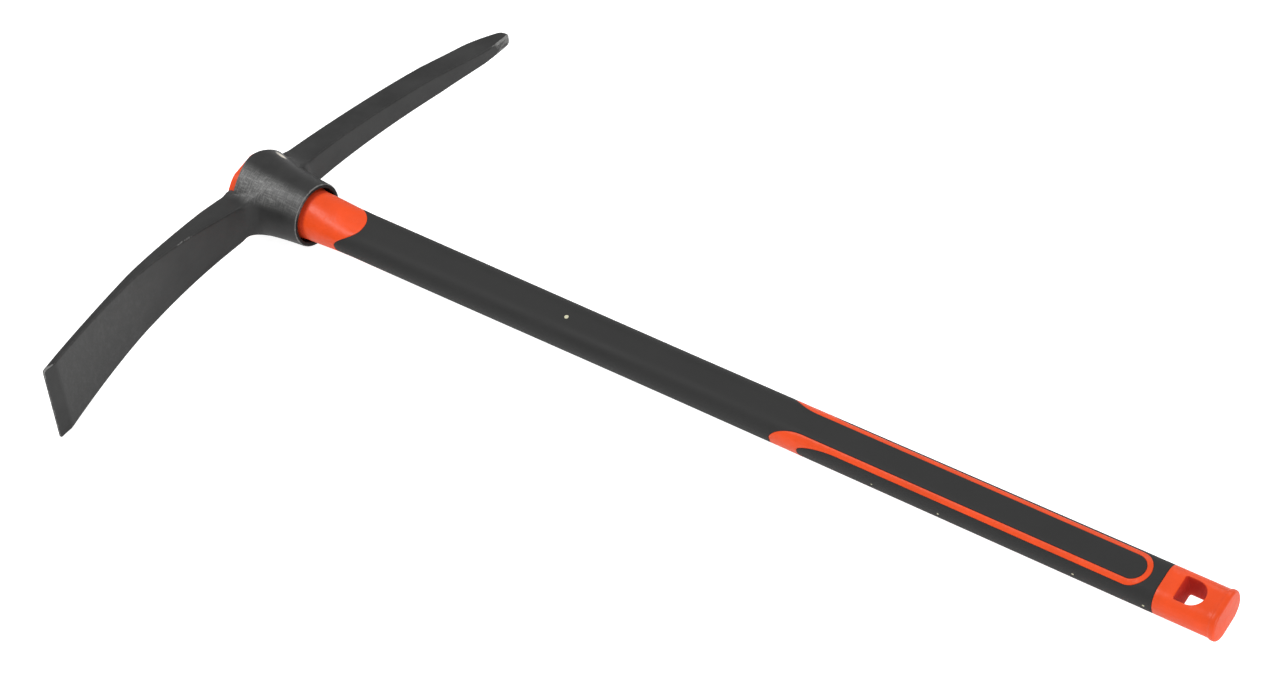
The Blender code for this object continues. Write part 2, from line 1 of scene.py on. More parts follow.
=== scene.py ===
"""Looks of a pickaxe: forged black head on an orange and black fibreglass-cored handle.

The handle lies along Y with its butt at the origin and its head end at +Y. The pick arm
points along +X, the mattock arm along -X, and +Z is up. The handle sits turned a little
in its round eye. All sizes are in metres.
"""

import math

import bmesh
import bpy
from mathutils import Matrix, Vector
from mathutils.bvhtree import BVHTree


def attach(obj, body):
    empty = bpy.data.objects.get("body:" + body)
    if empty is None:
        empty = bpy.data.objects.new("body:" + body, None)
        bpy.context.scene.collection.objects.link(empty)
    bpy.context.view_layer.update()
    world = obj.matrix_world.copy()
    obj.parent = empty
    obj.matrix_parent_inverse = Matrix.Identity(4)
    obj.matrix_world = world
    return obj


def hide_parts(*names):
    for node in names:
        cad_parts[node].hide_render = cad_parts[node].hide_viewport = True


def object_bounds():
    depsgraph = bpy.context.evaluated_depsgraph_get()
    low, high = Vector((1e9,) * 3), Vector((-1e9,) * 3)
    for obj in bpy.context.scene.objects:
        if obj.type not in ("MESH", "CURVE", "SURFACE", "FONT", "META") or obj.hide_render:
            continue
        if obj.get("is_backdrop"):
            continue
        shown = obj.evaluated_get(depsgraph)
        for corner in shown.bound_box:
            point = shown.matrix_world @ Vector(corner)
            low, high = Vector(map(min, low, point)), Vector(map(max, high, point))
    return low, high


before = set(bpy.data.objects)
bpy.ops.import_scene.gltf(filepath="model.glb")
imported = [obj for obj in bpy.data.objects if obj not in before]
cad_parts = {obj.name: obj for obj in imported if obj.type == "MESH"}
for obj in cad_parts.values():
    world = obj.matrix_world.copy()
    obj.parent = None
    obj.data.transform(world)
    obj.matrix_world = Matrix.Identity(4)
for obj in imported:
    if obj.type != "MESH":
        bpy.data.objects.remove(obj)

bl_info = {
    "name": "Pickaxe",
    "version": (1, 0, 0),
    "blender": (4, 5, 0),
    "location": "3D View > Sidebar > Pickaxe",
    "description": "Builds a pick mattock with a forged head and a soft-gripped handle",
    "category": "Object",
}

# Quarter turns round the handle, counted from the middle of its upper broad face
TOP = 0.0
RIGHT = 1.0

# Points closer than this are welded, and edges shorter than this are dropped
WELD_DISTANCE = 0.000002
SLIVER_LENGTH = 0.000001

# Steps round a rounded edge
EDGE_STEPS = 5


class HeadSettings(bpy.types.PropertyGroup):
    """Sizes and finish of the forged head."""

    eye_top_y: bpy.props.FloatProperty(
        name="Eye top", description="Place of the eye's top along the handle",
        default=0.8945, unit="LENGTH", precision=4)
    eye_length: bpy.props.FloatProperty(
        name="Eye length", description="Length of the eye along the handle",
        default=0.063, unit="LENGTH", precision=4)
    eye_top_radius: bpy.props.FloatProperty(
        name="Eye top radius", description="Outer radius of the eye at its head end",
        default=0.036, unit="LENGTH", precision=4)
    eye_mouth_radius: bpy.props.FloatProperty(
        name="Eye mouth radius", description="Outer radius of the eye where the handle comes out",
        default=0.0272, unit="LENGTH", precision=4)
    eye_wall: bpy.props.FloatProperty(
        name="Eye wall", description="Thickness of the wall round the handle",
        default=0.0036, unit="LENGTH", precision=4)
    eye_edge_round: bpy.props.FloatProperty(
        name="Eye edge rounding", description="Rounding of the eye's outer edges",
        default=0.0013, unit="LENGTH", precision=4)
    eye_waist: bpy.props.FloatProperty(
        name="Eye waist", description="How far the eye's side draws in midway along it",
        default=0.0014, unit="LENGTH", precision=4)
    eye_cheek_rise: bpy.props.FloatProperty(
        name="Eye cheek rise", description="How much higher the eye's end stands over its two cheeks",
        default=0.0038, unit="LENGTH", precision=4)
    mattock_reach: bpy.props.FloatProperty(
        name="Mattock reach", description="From the handle's axis to the cutting edge",
        default=0.2828, unit="LENGTH", precision=4)
    mattock_edge_width: bpy.props.FloatProperty(
        name="Cutting edge width", description="Width of the mattock blade at its edge",
        default=0.0710, unit="LENGTH", precision=4)
    mattock_bevel: bpy.props.FloatProperty(
        name="Cutting edge bevel", description="Length of the ground bevel",
        default=0.013, unit="LENGTH", precision=4)
    pick_reach: bpy.props.FloatProperty(
        name="Pick reach", description="From the handle's axis to the pick's tip",
        default=0.2725, unit="LENGTH", precision=4)
    arm_edge_round: bpy.props.FloatProperty(
        name="Arm edge rounding", description="Rounding of the arms' long edges",
        default=0.0014, unit="LENGTH", precision=4)
    grain: bpy.props.FloatProperty(
        name="Mesh grain", description="Size of the faces of the forged surface",
        default=0.0009, unit="LENGTH", precision=5)
    lacquer: bpy.props.FloatVectorProperty(
        name="Lacquer", description="Colour of the black lacquer",
        default=(0.0247, 0.0247, 0.0245), subtype="COLOR")
    # Worn steel is also the colour of the scuffed band that paints a highlight along the eye, and of
    # the painted light on the blade's butt side
    worn_steel: bpy.props.FloatVectorProperty(
        name="Worn steel", description="Colour where the lacquer is rubbed thin",
        default=(0.24, 0.24, 0.235), subtype="COLOR")
    bare_steel: bpy.props.FloatVectorProperty(
        name="Bare steel", description="Colour of the spot that is rubbed bare",
        default=(0.80, 0.74, 0.64), subtype="COLOR")


class HandleSettings(bpy.types.PropertyGroup):
    """Sizes and finish of the handle."""

    length: bpy.props.FloatProperty(
        name="Handle length", description="From the butt face to the head end",
        default=0.902, unit="LENGTH", precision=4)
    turn_in_eye: bpy.props.FloatProperty(
        name="Turn in the eye",
        description="How far the upper broad face leans towards the mattock arm",
        default=math.radians(14.3), unit="ROTATION")
    thickness: bpy.props.FloatProperty(
        name="Thickness", description="From one broad face to the other",
        default=0.0274, unit="LENGTH", precision=4)
    corner: bpy.props.FloatProperty(
        name="Corner radius", description="Rounding of the shaft's section",
        default=0.0125, unit="LENGTH", precision=4)
    width_at_collar: bpy.props.FloatProperty(
        name="Width at collar", description="Width of the shaft below the eye",
        default=0.0389, unit="LENGTH", precision=4)
    width_at_waist: bpy.props.FloatProperty(
        name="Width at waist", description="Width of the shaft at its slimmest",
        default=0.0371, unit="LENGTH", precision=4)
    width_at_butt: bpy.props.FloatProperty(
        name="Width at butt", description="Width of the shaft at the cap",
        default=0.0380, unit="LENGTH", precision=4)
    waist_y: bpy.props.FloatProperty(
        name="Waist", description="Place of the slimmest section",
        default=0.440, unit="LENGTH", precision=4)
    collar_length: bpy.props.FloatProperty(
        name="Collar length", description="Length over which the round end turns oblong",
        default=0.050, unit="LENGTH", precision=4)
    collar_clearance: bpy.props.FloatProperty(
        name="Collar clearance", description="Gap round the collar in the eye's mouth",
        default=0.0028, unit="LENGTH", precision=4)
    sleeve_thickness: bpy.props.FloatProperty(
        name="Sleeve thickness", description="Thickness of the soft sleeves",
        default=0.0016, unit="LENGTH", precision=4)
    sleeve_face_edge_y: bpy.props.FloatProperty(
        name="Sleeve edge on the face", description="Head end of the sleeve on the broad faces",
        default=0.7775, unit="LENGTH", precision=4)
    sleeve_side_edge_y: bpy.props.FloatProperty(
        name="Sleeve edge on the side", description="Head end of the sleeve on the narrow sides",
        default=0.798, unit="LENGTH", precision=4)
    leaf_y: bpy.props.FloatProperty(
        name="Leaf tip", description="Where the orange leaves on the narrow sides start",
        default=0.3725, unit="LENGTH", precision=4)
    leaf_length: bpy.props.FloatProperty(
        name="Leaf length", description="Length over which a leaf sweeps onto the face",
        default=0.028, unit="LENGTH", precision=4)
    nose_y: bpy.props.FloatProperty(
        name="Side grip nose", description="Where the black side strips start",
        default=0.3475, unit="LENGTH", precision=4)
    nose_length: bpy.props.FloatProperty(
        name="Nose length", description="Length over which a strip sweeps to its full width",
        default=0.035, unit="LENGTH", precision=4)
    panel_half_width: bpy.props.FloatProperty(
        name="Panel half width", description="Half the width of the black centre panel",
        default=0.0104, unit="LENGTH", precision=4)
    stripe_width: bpy.props.FloatProperty(
        name="Stripe width", description="Width of the orange stripe",
        default=0.0045, unit="LENGTH", precision=4)
    loop_end_y: bpy.props.FloatProperty(
        name="Loop end", description="Lowest point of the looped stripe",
        default=0.0585, unit="LENGTH", precision=4)
    seam: bpy.props.FloatProperty(
        name="Seam", description="Gap between the moulded pieces",
        default=0.00012, unit="LENGTH", precision=5)
    edge_roll: bpy.props.FloatProperty(
        name="Edge roll", description="Rounding along the seams",
        default=0.00035, unit="LENGTH", precision=5)
    orange: bpy.props.FloatVectorProperty(
        name="Orange", description="Colour of the hard plastic",
        default=(0.86, 0.075, 0.009), subtype="COLOR")
    # Painted shade: the deeper red painted on the hanging hole's walls and round the collar at the
    # eye's mouth
    orange_painted_shade: bpy.props.FloatVectorProperty(
        name="Orange in recesses",
        description="Colour of the hard plastic in the hole and at the eye's mouth",
        default=(0.60, 0.028, 0.010), subtype="COLOR")
    rubber: bpy.props.FloatVectorProperty(
        name="Rubber", description="Colour of the soft sleeves",
        default=(0.0228, 0.0228, 0.0226), subtype="COLOR")


class CapSettings(bpy.types.PropertyGroup):
    """Sizes of the butt cap."""

    length: bpy.props.FloatProperty(
        name="Cap length", description="Length of the butt cap",
        default=0.049, unit="LENGTH", precision=4)
    lip_length: bpy.props.FloatProperty(
        name="Lip length", description="Length of the raised lip at the end",
        default=0.0038, unit="LENGTH", precision=4)
    lip_proud: bpy.props.FloatProperty(
        name="Lip height", description="How far the lip stands out",
        default=0.0008, unit="LENGTH", precision=4)
    lip_flare: bpy.props.FloatProperty(
        name="Lip flare", description="Length over which the cap widens to its lip",
        default=0.0024, unit="LENGTH", precision=4)
    end_round: bpy.props.FloatProperty(
        name="End rounding", description="Rounding round the flat end",
        default=0.0022, unit="LENGTH", precision=4)
    hole_width: bpy.props.FloatProperty(
        name="Hole width", description="Width of the hanging hole",
        default=0.0212, unit="LENGTH", precision=4)
    hole_length: bpy.props.FloatProperty(
        name="Hole length", description="Length of the hanging hole along the handle",
        default=0.0198, unit="LENGTH", precision=4)
    hole_flat_y: bpy.props.FloatProperty(
        name="Hole flat", description="Place of the hole's flat edge",
        default=0.0359, unit="LENGTH", precision=4)
    hole_corner: bpy.props.FloatProperty(
        name="Hole corner", description="Rounding of the hole's two corners",
        default=0.0015, unit="LENGTH", precision=4)
    hole_edge_round: bpy.props.FloatProperty(
        name="Hole edge rounding", description="Rounding where the hole meets the faces",
        default=0.0009, unit="LENGTH", precision=4)


class StageSettings(bpy.types.PropertyGroup):
    """Floor, light and camera."""

    floor_colour: bpy.props.FloatVectorProperty(
        name="Floor", description="Colour of the floor",
        default=(0.72, 0.72, 0.72), subtype="COLOR")
    light: bpy.props.FloatProperty(
        name="Light", description="Strength of the studio light",
        default=1.0, min=0.0)
    focal_length: bpy.props.FloatProperty(
        name="Focal length", description="Focal length of the camera on a 36 mm sensor, in mm",
        default=89.86)


def clamped(share):
    return min(max(share, 0.0), 1.0)


def smooth(share):
    """Ease from 0 to 1 without a corner at either end."""
    share = clamped(share)
    return share * share * (3.0 - 2.0 * share)


def rising(value, start, length):
    """0 up to a start, easing to 1 over a length."""
    return smooth((value - start) / length)


def near(distance, reach, core=1.0):
    """1 at no distance, falling to 0. A core above 1 holds the 1 for part of the way."""
    return smooth(core - abs(distance) / reach)


def mix(start, end, share):
    return start + (end - start) * share


def spaced(start, end, steps):
    return [mix(start, end, step / steps) for step in range(steps + 1)]


def all_round(steps):
    """Quarter turns once round the handle, from its left side back to it."""
    return spaced(-1.0, 3.0, steps)


def rounded_edge(radius):
    """Steps round an edge from its side to its end, as distances from the end and the side."""
    steps = []
    for step in range(EDGE_STEPS + 1):
        angle = math.radians(90 * step / EDGE_STEPS)
        steps.append((radius * (1 - math.sin(angle)), radius * (1 - math.cos(angle))))
    return steps


def on_circle(radius, degrees):
    """Coordinates of a point on a circle, by degrees from its right side."""
    angle = math.radians(degrees)
    return radius * math.cos(angle), radius * math.sin(angle)


def finished_mesh(name, shape):
    """Turn a worked shape into a mesh, and let the shape go."""
    mesh = bpy.data.meshes.new(name)
    shape.to_mesh(mesh)
    shape.free()
    return mesh


def mesh_from_rings(name, rings):
    """Skin a row of rings that have the same number of points, and close both ends."""
    shape = bmesh.new()
    loops = [[shape.verts.new(point) for point in ring] for ring in rings]
    for loop, following in zip(loops, loops[1:]):
        for index in range(len(loop)):
            shape.faces.new((loop[index - 1], loop[index], following[index], following[index - 1]))
    shape.faces.new(loops[0])
    shape.faces.new(loops[-1])
    bmesh.ops.recalc_face_normals(shape, faces=shape.faces)
    return finished_mesh(name, shape)


def mesh_from_grids(name, grids):
    """Build quads over grids of points, and weld the grids where they meet."""
    shape = bmesh.new()
    for grid in grids:
        rows = [[shape.verts.new(point) for point in row] for row in grid]
        for row, following in zip(rows, rows[1:]):
            for index in range(len(row) - 1):
                shape.faces.new((row[index], row[index + 1], following[index + 1], following[index]))
    bmesh.ops.remove_doubles(shape, verts=shape.verts, dist=WELD_DISTANCE)
    bmesh.ops.dissolve_degenerate(shape, dist=SLIVER_LENGTH, edges=shape.edges)
    bmesh.ops.recalc_face_normals(shape, faces=shape.faces)
    return finished_mesh(name, shape)


def face_outwards(mesh):
    """Turn an open skin round the handle so that its faces point away from the axis."""
    towards = sum(
        face.normal.dot(Vector((face.center.x, 0.0, face.center.z))) * face.area
        for face in mesh.polygons)
    if towards < 0:
        mesh.flip_normals()


def add_object(name, mesh):
    piece = bpy.data.objects.new(name, mesh)
    bpy.context.scene.collection.objects.link(piece)
    return piece


def applied(piece):
    """Replace a piece's mesh with its evaluated mesh and drop its modifiers."""
    bpy.context.view_layer.update()
    graph = bpy.context.evaluated_depsgraph_get()
    mesh = bpy.data.meshes.new_from_object(piece.evaluated_get(graph))
    mesh.name = piece.name
    piece.modifiers.clear()
    piece.data = mesh


def shade(piece, sharp_degrees):
    """Shade a piece smooth, but keep the edges that turn more than this sharp."""
    piece.data.shade_smooth()
    piece.data.set_sharp_from_angle(angle=math.radians(sharp_degrees))


def boolean(piece, operation, other):
    modifier = piece.modifiers.new(operation.lower(), "BOOLEAN")
    modifier.operation = operation
    modifier.solver = "EXACT"
    modifier.object = other


def discard(*helpers):
    for helper in helpers:
        bpy.data.objects.remove(helper, do_unlink=True)


def finish_piece(piece, body, slot, material, *nodes):
    """Give a piece its material, attach it to its body and hide the CAD nodes it replaces. The slot is
    not used.
    """
    piece.data.materials.clear()
    piece.data.materials.append(material)
    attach(piece, body)
    if nodes:
        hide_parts(*nodes)


# Shader nodes

def put(tree, kind, **settings):
    node = tree.nodes.new(kind)
    for key, value in settings.items():
        setattr(node, key, value)
    return node


def join(tree, source, target):
    """Feed a socket from another node's output, or set it to a plain value."""
    if isinstance(source, bpy.types.NodeSocket):
        tree.links.new(source, target)
    else:
        target.default_value = source


def worked_out(tree, kind, output, inputs, **settings):
    """Add a node, feed its inputs, and return one of its outputs."""
    node = put(tree, kind, **settings)
    for socket, source in inputs.items():
        join(tree, source, node.inputs[socket])
    return node.outputs[output]


def noise(tree, place, scale, detail, roughness):
    """Noise from 0 to 1 over the surface."""
    return worked_out(
        tree, "ShaderNodeTexNoise", "Fac",
        {"Vector": place, "Scale": scale, "Detail": detail, "Roughness": roughness})


def ranged(tree, value, low=0.0, high=1.0, start=0.0, end=1.0):
    """Stretch a value that runs from start to end to run from low to high."""
    return worked_out(
        tree, "ShaderNodeMapRange", "Result",
        {"Value": value, "From Min": start, "From Max": end, "To Min": low, "To Max": high})


def calculated(tree, operation, first, second, clamp=False):
    """Value that a maths node makes of two others."""
    return worked_out(
        tree, "ShaderNodeMath", "Value", {0: first, 1: second}, operation=operation, use_clamp=clamp)


# Shared shader groups

def group_tree(name, inputs, outputs):
    """Start a node group with its named inputs and outputs."""
    tree = bpy.data.node_groups.new(name, "ShaderNodeTree")
    for label, kind, value in inputs:
        socket = tree.interface.new_socket(label, in_out="INPUT", socket_type=kind)
        if value is not None:
            socket.default_value = value
    for label, kind in outputs:
        tree.interface.new_socket(label, in_out="OUTPUT", socket_type=kind)
    return tree, tree.nodes.new("NodeGroupInput"), tree.nodes.new("NodeGroupOutput")


def mottle_group():
    """Soft clouds, and a fine grain height."""
    tree, given, result = group_tree(
        "Mottle",
        [("Vector", "NodeSocketVector", None), ("Cloud Scale", "NodeSocketFloat", 30.0),
         ("Grain Scale", "NodeSocketFloat", 900.0)],
        [("Cloud", "NodeSocketFloat"), ("Grain", "NodeSocketFloat")])
    place = given.outputs["Vector"]
    cloud = noise(tree, place, given.outputs["Cloud Scale"], detail=5.0, roughness=0.6)
    grain = noise(tree, place, given.outputs["Grain Scale"], detail=2.0, roughness=0.5)
    join(tree, ranged(tree, cloud, start=0.3, end=0.7), result.inputs["Cloud"])
    join(tree, grain, result.inputs["Grain"])
    return tree


def scratch_group():
    """Fine marks drawn out along one direction."""
    tree, given, result = group_tree(
        "Scratches",
        [("Vector", "NodeSocketVector", None), ("Stretch", "NodeSocketVector", (1.0, 1.0, 1.0)),
         ("Coverage", "NodeSocketFloat", 0.3)],
        [("Mask", "NodeSocketFloat")])
    stretched = worked_out(
        tree, "ShaderNodeVectorMath", "Vector",
        {0: given.outputs["Vector"], 1: given.outputs["Stretch"]}, operation="MULTIPLY")
    lines = noise(tree, stretched, scale=1.0, detail=3.0, roughness=0.7)
    threshold = calculated(tree, "SUBTRACT", 0.82, given.outputs["Coverage"])
    join(tree, ranged(tree, lines, start=threshold, end=0.85), result.inputs["Mask"])
    return tree


def wear_group():
    """Breaks a smooth wear value up into rubbed patches."""
    tree, given, result = group_tree(
        "Wear",
        [("Vector", "NodeSocketVector", None), ("Wear", "NodeSocketFloat", 0.0),
         ("Patch Scale", "NodeSocketFloat", 260.0)],
        [("Mask", "NodeSocketFloat")])
    patches = noise(
        tree, given.outputs["Vector"], given.outputs["Patch Scale"], detail=6.0, roughness=0.72)
    total = calculated(tree, "ADD", patches, given.outputs["Wear"])
    join(tree, ranged(tree, total, start=0.86, end=1.16), result.inputs["Mask"])
    return tree


def shared_group(name, maker):
    """Fetch a shader group, building it the first time."""
    return bpy.data.node_groups.get(name) or maker()


# Materials

def new_material(name):
    material = bpy.data.materials.new(name)
    material.use_nodes = True
    tree = material.node_tree
    place = put(tree, "ShaderNodeTexCoord")
    return material, tree, tree.nodes["Principled BSDF"], place.outputs["Object"]


def add_group(tree, name, maker, vector, **values):
    node = put(tree, "ShaderNodeGroup", node_tree=shared_group(name, maker))
    join(tree, vector, node.inputs["Vector"])
    for label, value in values.items():
        node.inputs[label.replace("_", " ")].default_value = value
    return node


def mixed_colour(tree, share, first, second):
    """Colour mixed by a mask. Each of the two is a colour or another node's output."""
    node = put(tree, "ShaderNodeMix", data_type="RGBA")
    join(tree, share, node.inputs["Factor"])
    for socket, colour in ((node.inputs["A"], first), (node.inputs["B"], second)):
        if isinstance(colour, bpy.types.NodeSocket):
            join(tree, colour, socket)
        else:
            socket.default_value = (*colour[:3], 1.0)
    return node.outputs["Result"]


def bumped(tree, height, strength, distance, below=None):
    """Normal bent by a height, over another bent normal if one is given."""
    inputs = {"Strength": strength, "Distance": distance, "Height": height}
    if below is not None:
        inputs["Normal"] = below
    return worked_out(tree, "ShaderNodeBump", "Normal", inputs)


def scaled_colour(colour, amount):
    return tuple(channel * amount for channel in colour[:3])


def clouded(tree, mottle, colour, darkest, lightest):
    """A colour that varies in clouds between two shares of itself."""
    return mixed_colour(
        tree, mottle.outputs["Cloud"],
        scaled_colour(colour, darkest), scaled_colour(colour, lightest))


def surface_value(tree, name):
    """A value that the mesh holds at its vertices."""
    return worked_out(tree, "ShaderNodeAttribute", "Fac", {}, attribute_name=name)


# Shares of a colour for painted shade on the eye's end face at its mouth, for scuffed streaks
# that also paint a highlight along the eye, and for rubbed marks on the soft sleeves
MOUTH_PAINTED_SHADE = 0.4
STREAK_AND_HIGHLIGHT_SHADE = 0.95
RUBBED_SHADE = 1.9

# Colours of the fibreglass: resin at its darkest and lightest, and the glass in it
RESIN_DARK = (0.52, 0.50, 0.33)
RESIN_LIGHT = (0.66, 0.64, 0.46)
GLASS_FIBRE = (0.80, 0.79, 0.68)


def lacquered_steel(settings):
    """Black lacquer over forged steel, rubbed grey on edges and scuffed along the eye. The scuffed band
    also paints a highlight, painted shade darkens the eye's end face at its mouth, and painted light
    lightens the blade's butt side.
    """
    material, tree, shader, place = new_material("lacquered steel")
    mottle = add_group(tree, "Mottle", mottle_group, place, Cloud_Scale=38.0, Grain_Scale=1500.0)
    across = add_group(
        tree, "Scratches", scratch_group, place, Stretch=(150.0, 950.0, 150.0), Coverage=0.36)
    along = add_group(
        tree, "Scratches", scratch_group, place, Stretch=(800.0, 90.0, 800.0), Coverage=0.34)
    wear = add_group(tree, "Wear", wear_group, place, Patch_Scale=420.0)
    join(tree, surface_value(tree, "worn"), wear.inputs["Wear"])
    scratches = calculated(tree, "ADD", across.outputs["Mask"], along.outputs["Mask"], clamp=True)
    scratch_share = ranged(tree, scratches, low=0.25, high=1.0)
    # The rubbed value holds scuffs with a painted highlight along the eye, and painted light on the
    # blade's butt side
    streaks_and_highlight = calculated(tree, "MULTIPLY", surface_value(tree, "rubbed"), scratch_share)
    # The scale value holds painted shade: it darkens and dulls the eye's end face at its mouth
    scale = surface_value(tree, "scale")
    lacquer = clouded(tree, mottle, settings.lacquer, darkest=0.68, lightest=1.32)
    coated = mixed_colour(tree, scale, lacquer, scaled_colour(settings.lacquer, MOUTH_PAINTED_SHADE))
    dull = mixed_colour(tree, streaks_and_highlight, coated, scaled_colour(settings.worn_steel, STREAK_AND_HIGHLIGHT_SHADE))
    steel = mixed_colour(tree, surface_value(tree, "bare"), settings.worn_steel, settings.bare_steel)
    colour = mixed_colour(tree, wear.outputs["Mask"], dull, steel)
    join(tree, colour, shader.inputs["Base Color"])
    join(tree, ranged(tree, wear.outputs["Mask"], low=0.0, high=0.75), shader.inputs["Metallic"])
    coat_roughness = ranged(tree, mottle.outputs["Cloud"], low=0.40, high=0.52)
    roughness = calculated(tree, "ADD", coat_roughness, ranged(tree, scale, low=0.0, high=0.4))
    join(tree, roughness, shader.inputs["Roughness"])
    fine = bumped(tree, mottle.outputs["Grain"], strength=0.25, distance=0.00012)
    hammered = bumped(tree, mottle.outputs["Cloud"], strength=0.20, distance=0.0004, below=fine)
    join(tree, hammered, shader.inputs["Normal"])
    shader.inputs["Specular IOR Level"].default_value = 0.35
    return material


def orange_plastic(settings):
    """Satin moulded plastic, with painted shade in the hanging hole and in a ring at the eye's mouth,
    where it is deeper red and duller.
    """
    material, tree, shader, place = new_material("orange plastic")
    mottle = add_group(tree, "Mottle", mottle_group, place, Cloud_Scale=34.0, Grain_Scale=1300.0)
    # Painted shade, deeper red and duller, in the hanging hole and round the collar at the eye's mouth
    painted_shade = surface_value(tree, "painted_shade")
    clean = clouded(tree, mottle, settings.orange, darkest=0.89, lightest=1.07)
    join(tree, mixed_colour(tree, painted_shade, clean, settings.orange_painted_shade), shader.inputs["Base Color"])
    satin = ranged(tree, mottle.outputs["Cloud"], low=0.34, high=0.46)
    roughness = calculated(tree, "ADD", satin, ranged(tree, painted_shade, low=0.0, high=0.4))
    join(tree, roughness, shader.inputs["Roughness"])
    fine = bumped(tree, mottle.outputs["Grain"], strength=0.15, distance=0.0001)
    wavy = bumped(tree, mottle.outputs["Cloud"], strength=0.32, distance=0.0018, below=fine)
    join(tree, wavy, shader.inputs["Normal"])
    shader.inputs["Specular IOR Level"].default_value = 0.31
    return material


def soft_rubber(settings):
    """Matt black soft plastic with a fine moulded grain and faint rubbed marks."""
    material, tree, shader, place = new_material("black rubber")
    mottle = add_group(tree, "Mottle", mottle_group, place, Cloud_Scale=16.0, Grain_Scale=2000.0)
    scratches = add_group(
        tree, "Scratches", scratch_group, place, Stretch=(900.0, 60.0, 900.0), Coverage=0.06)
    base = clouded(tree, mottle, settings.rubber, darkest=0.90, lightest=1.18)
    rubbed = scaled_colour(settings.rubber, RUBBED_SHADE)
    join(tree, mixed_colour(tree, scratches.outputs["Mask"], base, rubbed), shader.inputs["Base Color"])
    join(tree, ranged(tree, mottle.outputs["Cloud"], low=0.58, high=0.70), shader.inputs["Roughness"])
    grain = bumped(tree, mottle.outputs["Grain"], strength=0.35, distance=0.00015)
    join(tree, grain, shader.inputs["Normal"])
    shader.inputs["Specular IOR Level"].default_value = 0.28
    return material


def drawn_fibreglass():
    """Pale resin with glass fibres along the rod."""
    material, tree, shader, place = new_material("fibreglass")
    fibres = add_group(
        tree, "Scratches", scratch_group, place, Stretch=(1800.0, 12.0, 1800.0), Coverage=0.35)
    mottle = add_group(tree, "Mottle", mottle_group, place, Cloud_Scale=12.0, Grain_Scale=1100.0)
    resin = mixed_colour(tree, mottle.outputs["Cloud"], RESIN_DARK, RESIN_LIGHT)
    colour = mixed_colour(tree, fibres.outputs["Mask"], resin, GLASS_FIBRE)
    join(tree, colour, shader.inputs["Base Color"])
    join(tree, ranged(tree, fibres.outputs["Mask"], low=0.55, high=0.35), shader.inputs["Roughness"])
    ridged = bumped(tree, fibres.outputs["Mask"], strength=0.2, distance=0.0001)
    join(tree, ridged, shader.inputs["Normal"])
    return material


def fetched(name, maker, *settings):
    """Use a material again if it has been made."""
    return bpy.data.materials.get(name) or maker(*settings)


# Forged head

# Mattock arm: its blade follows an arc, whose crest is this far out and this far below the
# eye's top, and thins and widens from its root
MATTOCK_ARC_RADIUS = 0.702
MATTOCK_CREST_OUT = 0.072
MATTOCK_CREST_DOWN = 0.0047
MATTOCK_ROOT_OUT = 0.042
MATTOCK_ROOT_UP = 0.0055
MATTOCK_ROOT_WIDTH = 0.0334
MATTOCK_ROOT_THICKNESS = 0.0255
MATTOCK_BLADE_OUT = 0.160
MATTOCK_BLADE_WIDTH = 0.0572
MATTOCK_BLADE_SAG = 0.0012
MATTOCK_BLADE_THICKNESS = 0.0054
MATTOCK_EDGE_THICKNESS = 0.0015
MATTOCK_CORNER_ROUND = 0.0025
MATTOCK_WIDENING = 1.2
MATTOCK_THINNING = 3
MATTOCK_END_RINGS = 6

# Pick arm: a bar on a wider arc, which narrows over its outer part and thins to its point
PICK_ARC_RADIUS = 1.000
PICK_CREST_DOWN = 0.0094
PICK_ROOT_OUT = 0.040
PICK_ROOT_WIDTH = 0.0266
PICK_ROOT_THICKNESS = 0.0255
PICK_SHANK_WIDTH = 0.0194
PICK_SHANK_THICKNESS = 0.0222
PICK_NARROWING = 0.083
PICK_POINT = 0.038
PICK_POINT_WIDTH = 0.0108
PICK_POINT_THICKNESS = 0.0078
PICK_POINT_LIFT = 0.0008
PICK_LIFT_START = 0.057
PICK_TIP_ROUND = 0.0055
PICK_TIP_LOSS = 1.05
PICK_NARROWING_SWEEP = 1.5
PICK_ROOT_SWEEP = 4
PICK_POINT_SWEEP = 1.6
PICK_END_RINGS = 10

# Roots of both arms: fillets where they grow out of the eye's wall
ROOT_FILLET = 0.013
MATTOCK_SIDE_FILLET = 0.013
PICK_SIDE_FILLET = 0.016
CREST_SPREAD = 0.0012
CREST_HEIGHT = 0.012
ROOT_BLEND = 0.025

# Rise of the eye's end over its cheeks: how narrow it is, and how far it dips elsewhere
CHEEK_NARROWNESS = 8
CHEEK_BASE = 0.25

# Softened ring round the eye's wall, where it lies across the arms' roots and under the crest
SOFT_RING_RADIUS = 0.037
SOFT_RING_HALF = 0.004
SOFT_RING_FADE = 0.009
SOFT_FROM_SIDE = 0.018
SOFT_BELOW_TOP = 0.002
SOFT_FADE = 0.008

# Where the arms start inside the eye, how much of a fillet is drawn, and the largest
# rounding of an arm as a share of its sides
ARM_START = 0.0236
FILLET_PART = 0.97
LARGEST_CORNER = 0.48

# Fineness of the forms, and the angle from which an edge of the head is shaded sharp
ARM_RINGS = 130
ARM_CORNER_STEPS = 3
ARM_SIDE_STEPS = 9
EYE_STEPS = 144
EYE_RINGS = 30
HEAD_SHARP_DEGREES = 48


def eye_radius(head, below_top):
    """The eye tapers to its mouth and is drawn in a little between its ends."""
    share = below_top / head.eye_length
    drawn_in = head.eye_waist * math.sin(math.pi * clamped(share))
    return mix(head.eye_top_radius, head.eye_mouth_radius, share) - drawn_in


def fillet_growth(distance_in, radius):
    """How far a fillet of this radius has widened an arm, this far into the fillet."""
    distance_in = min(max(distance_in, 0.0), FILLET_PART * radius)
    return radius - math.sqrt(radius * radius - distance_in * distance_in)


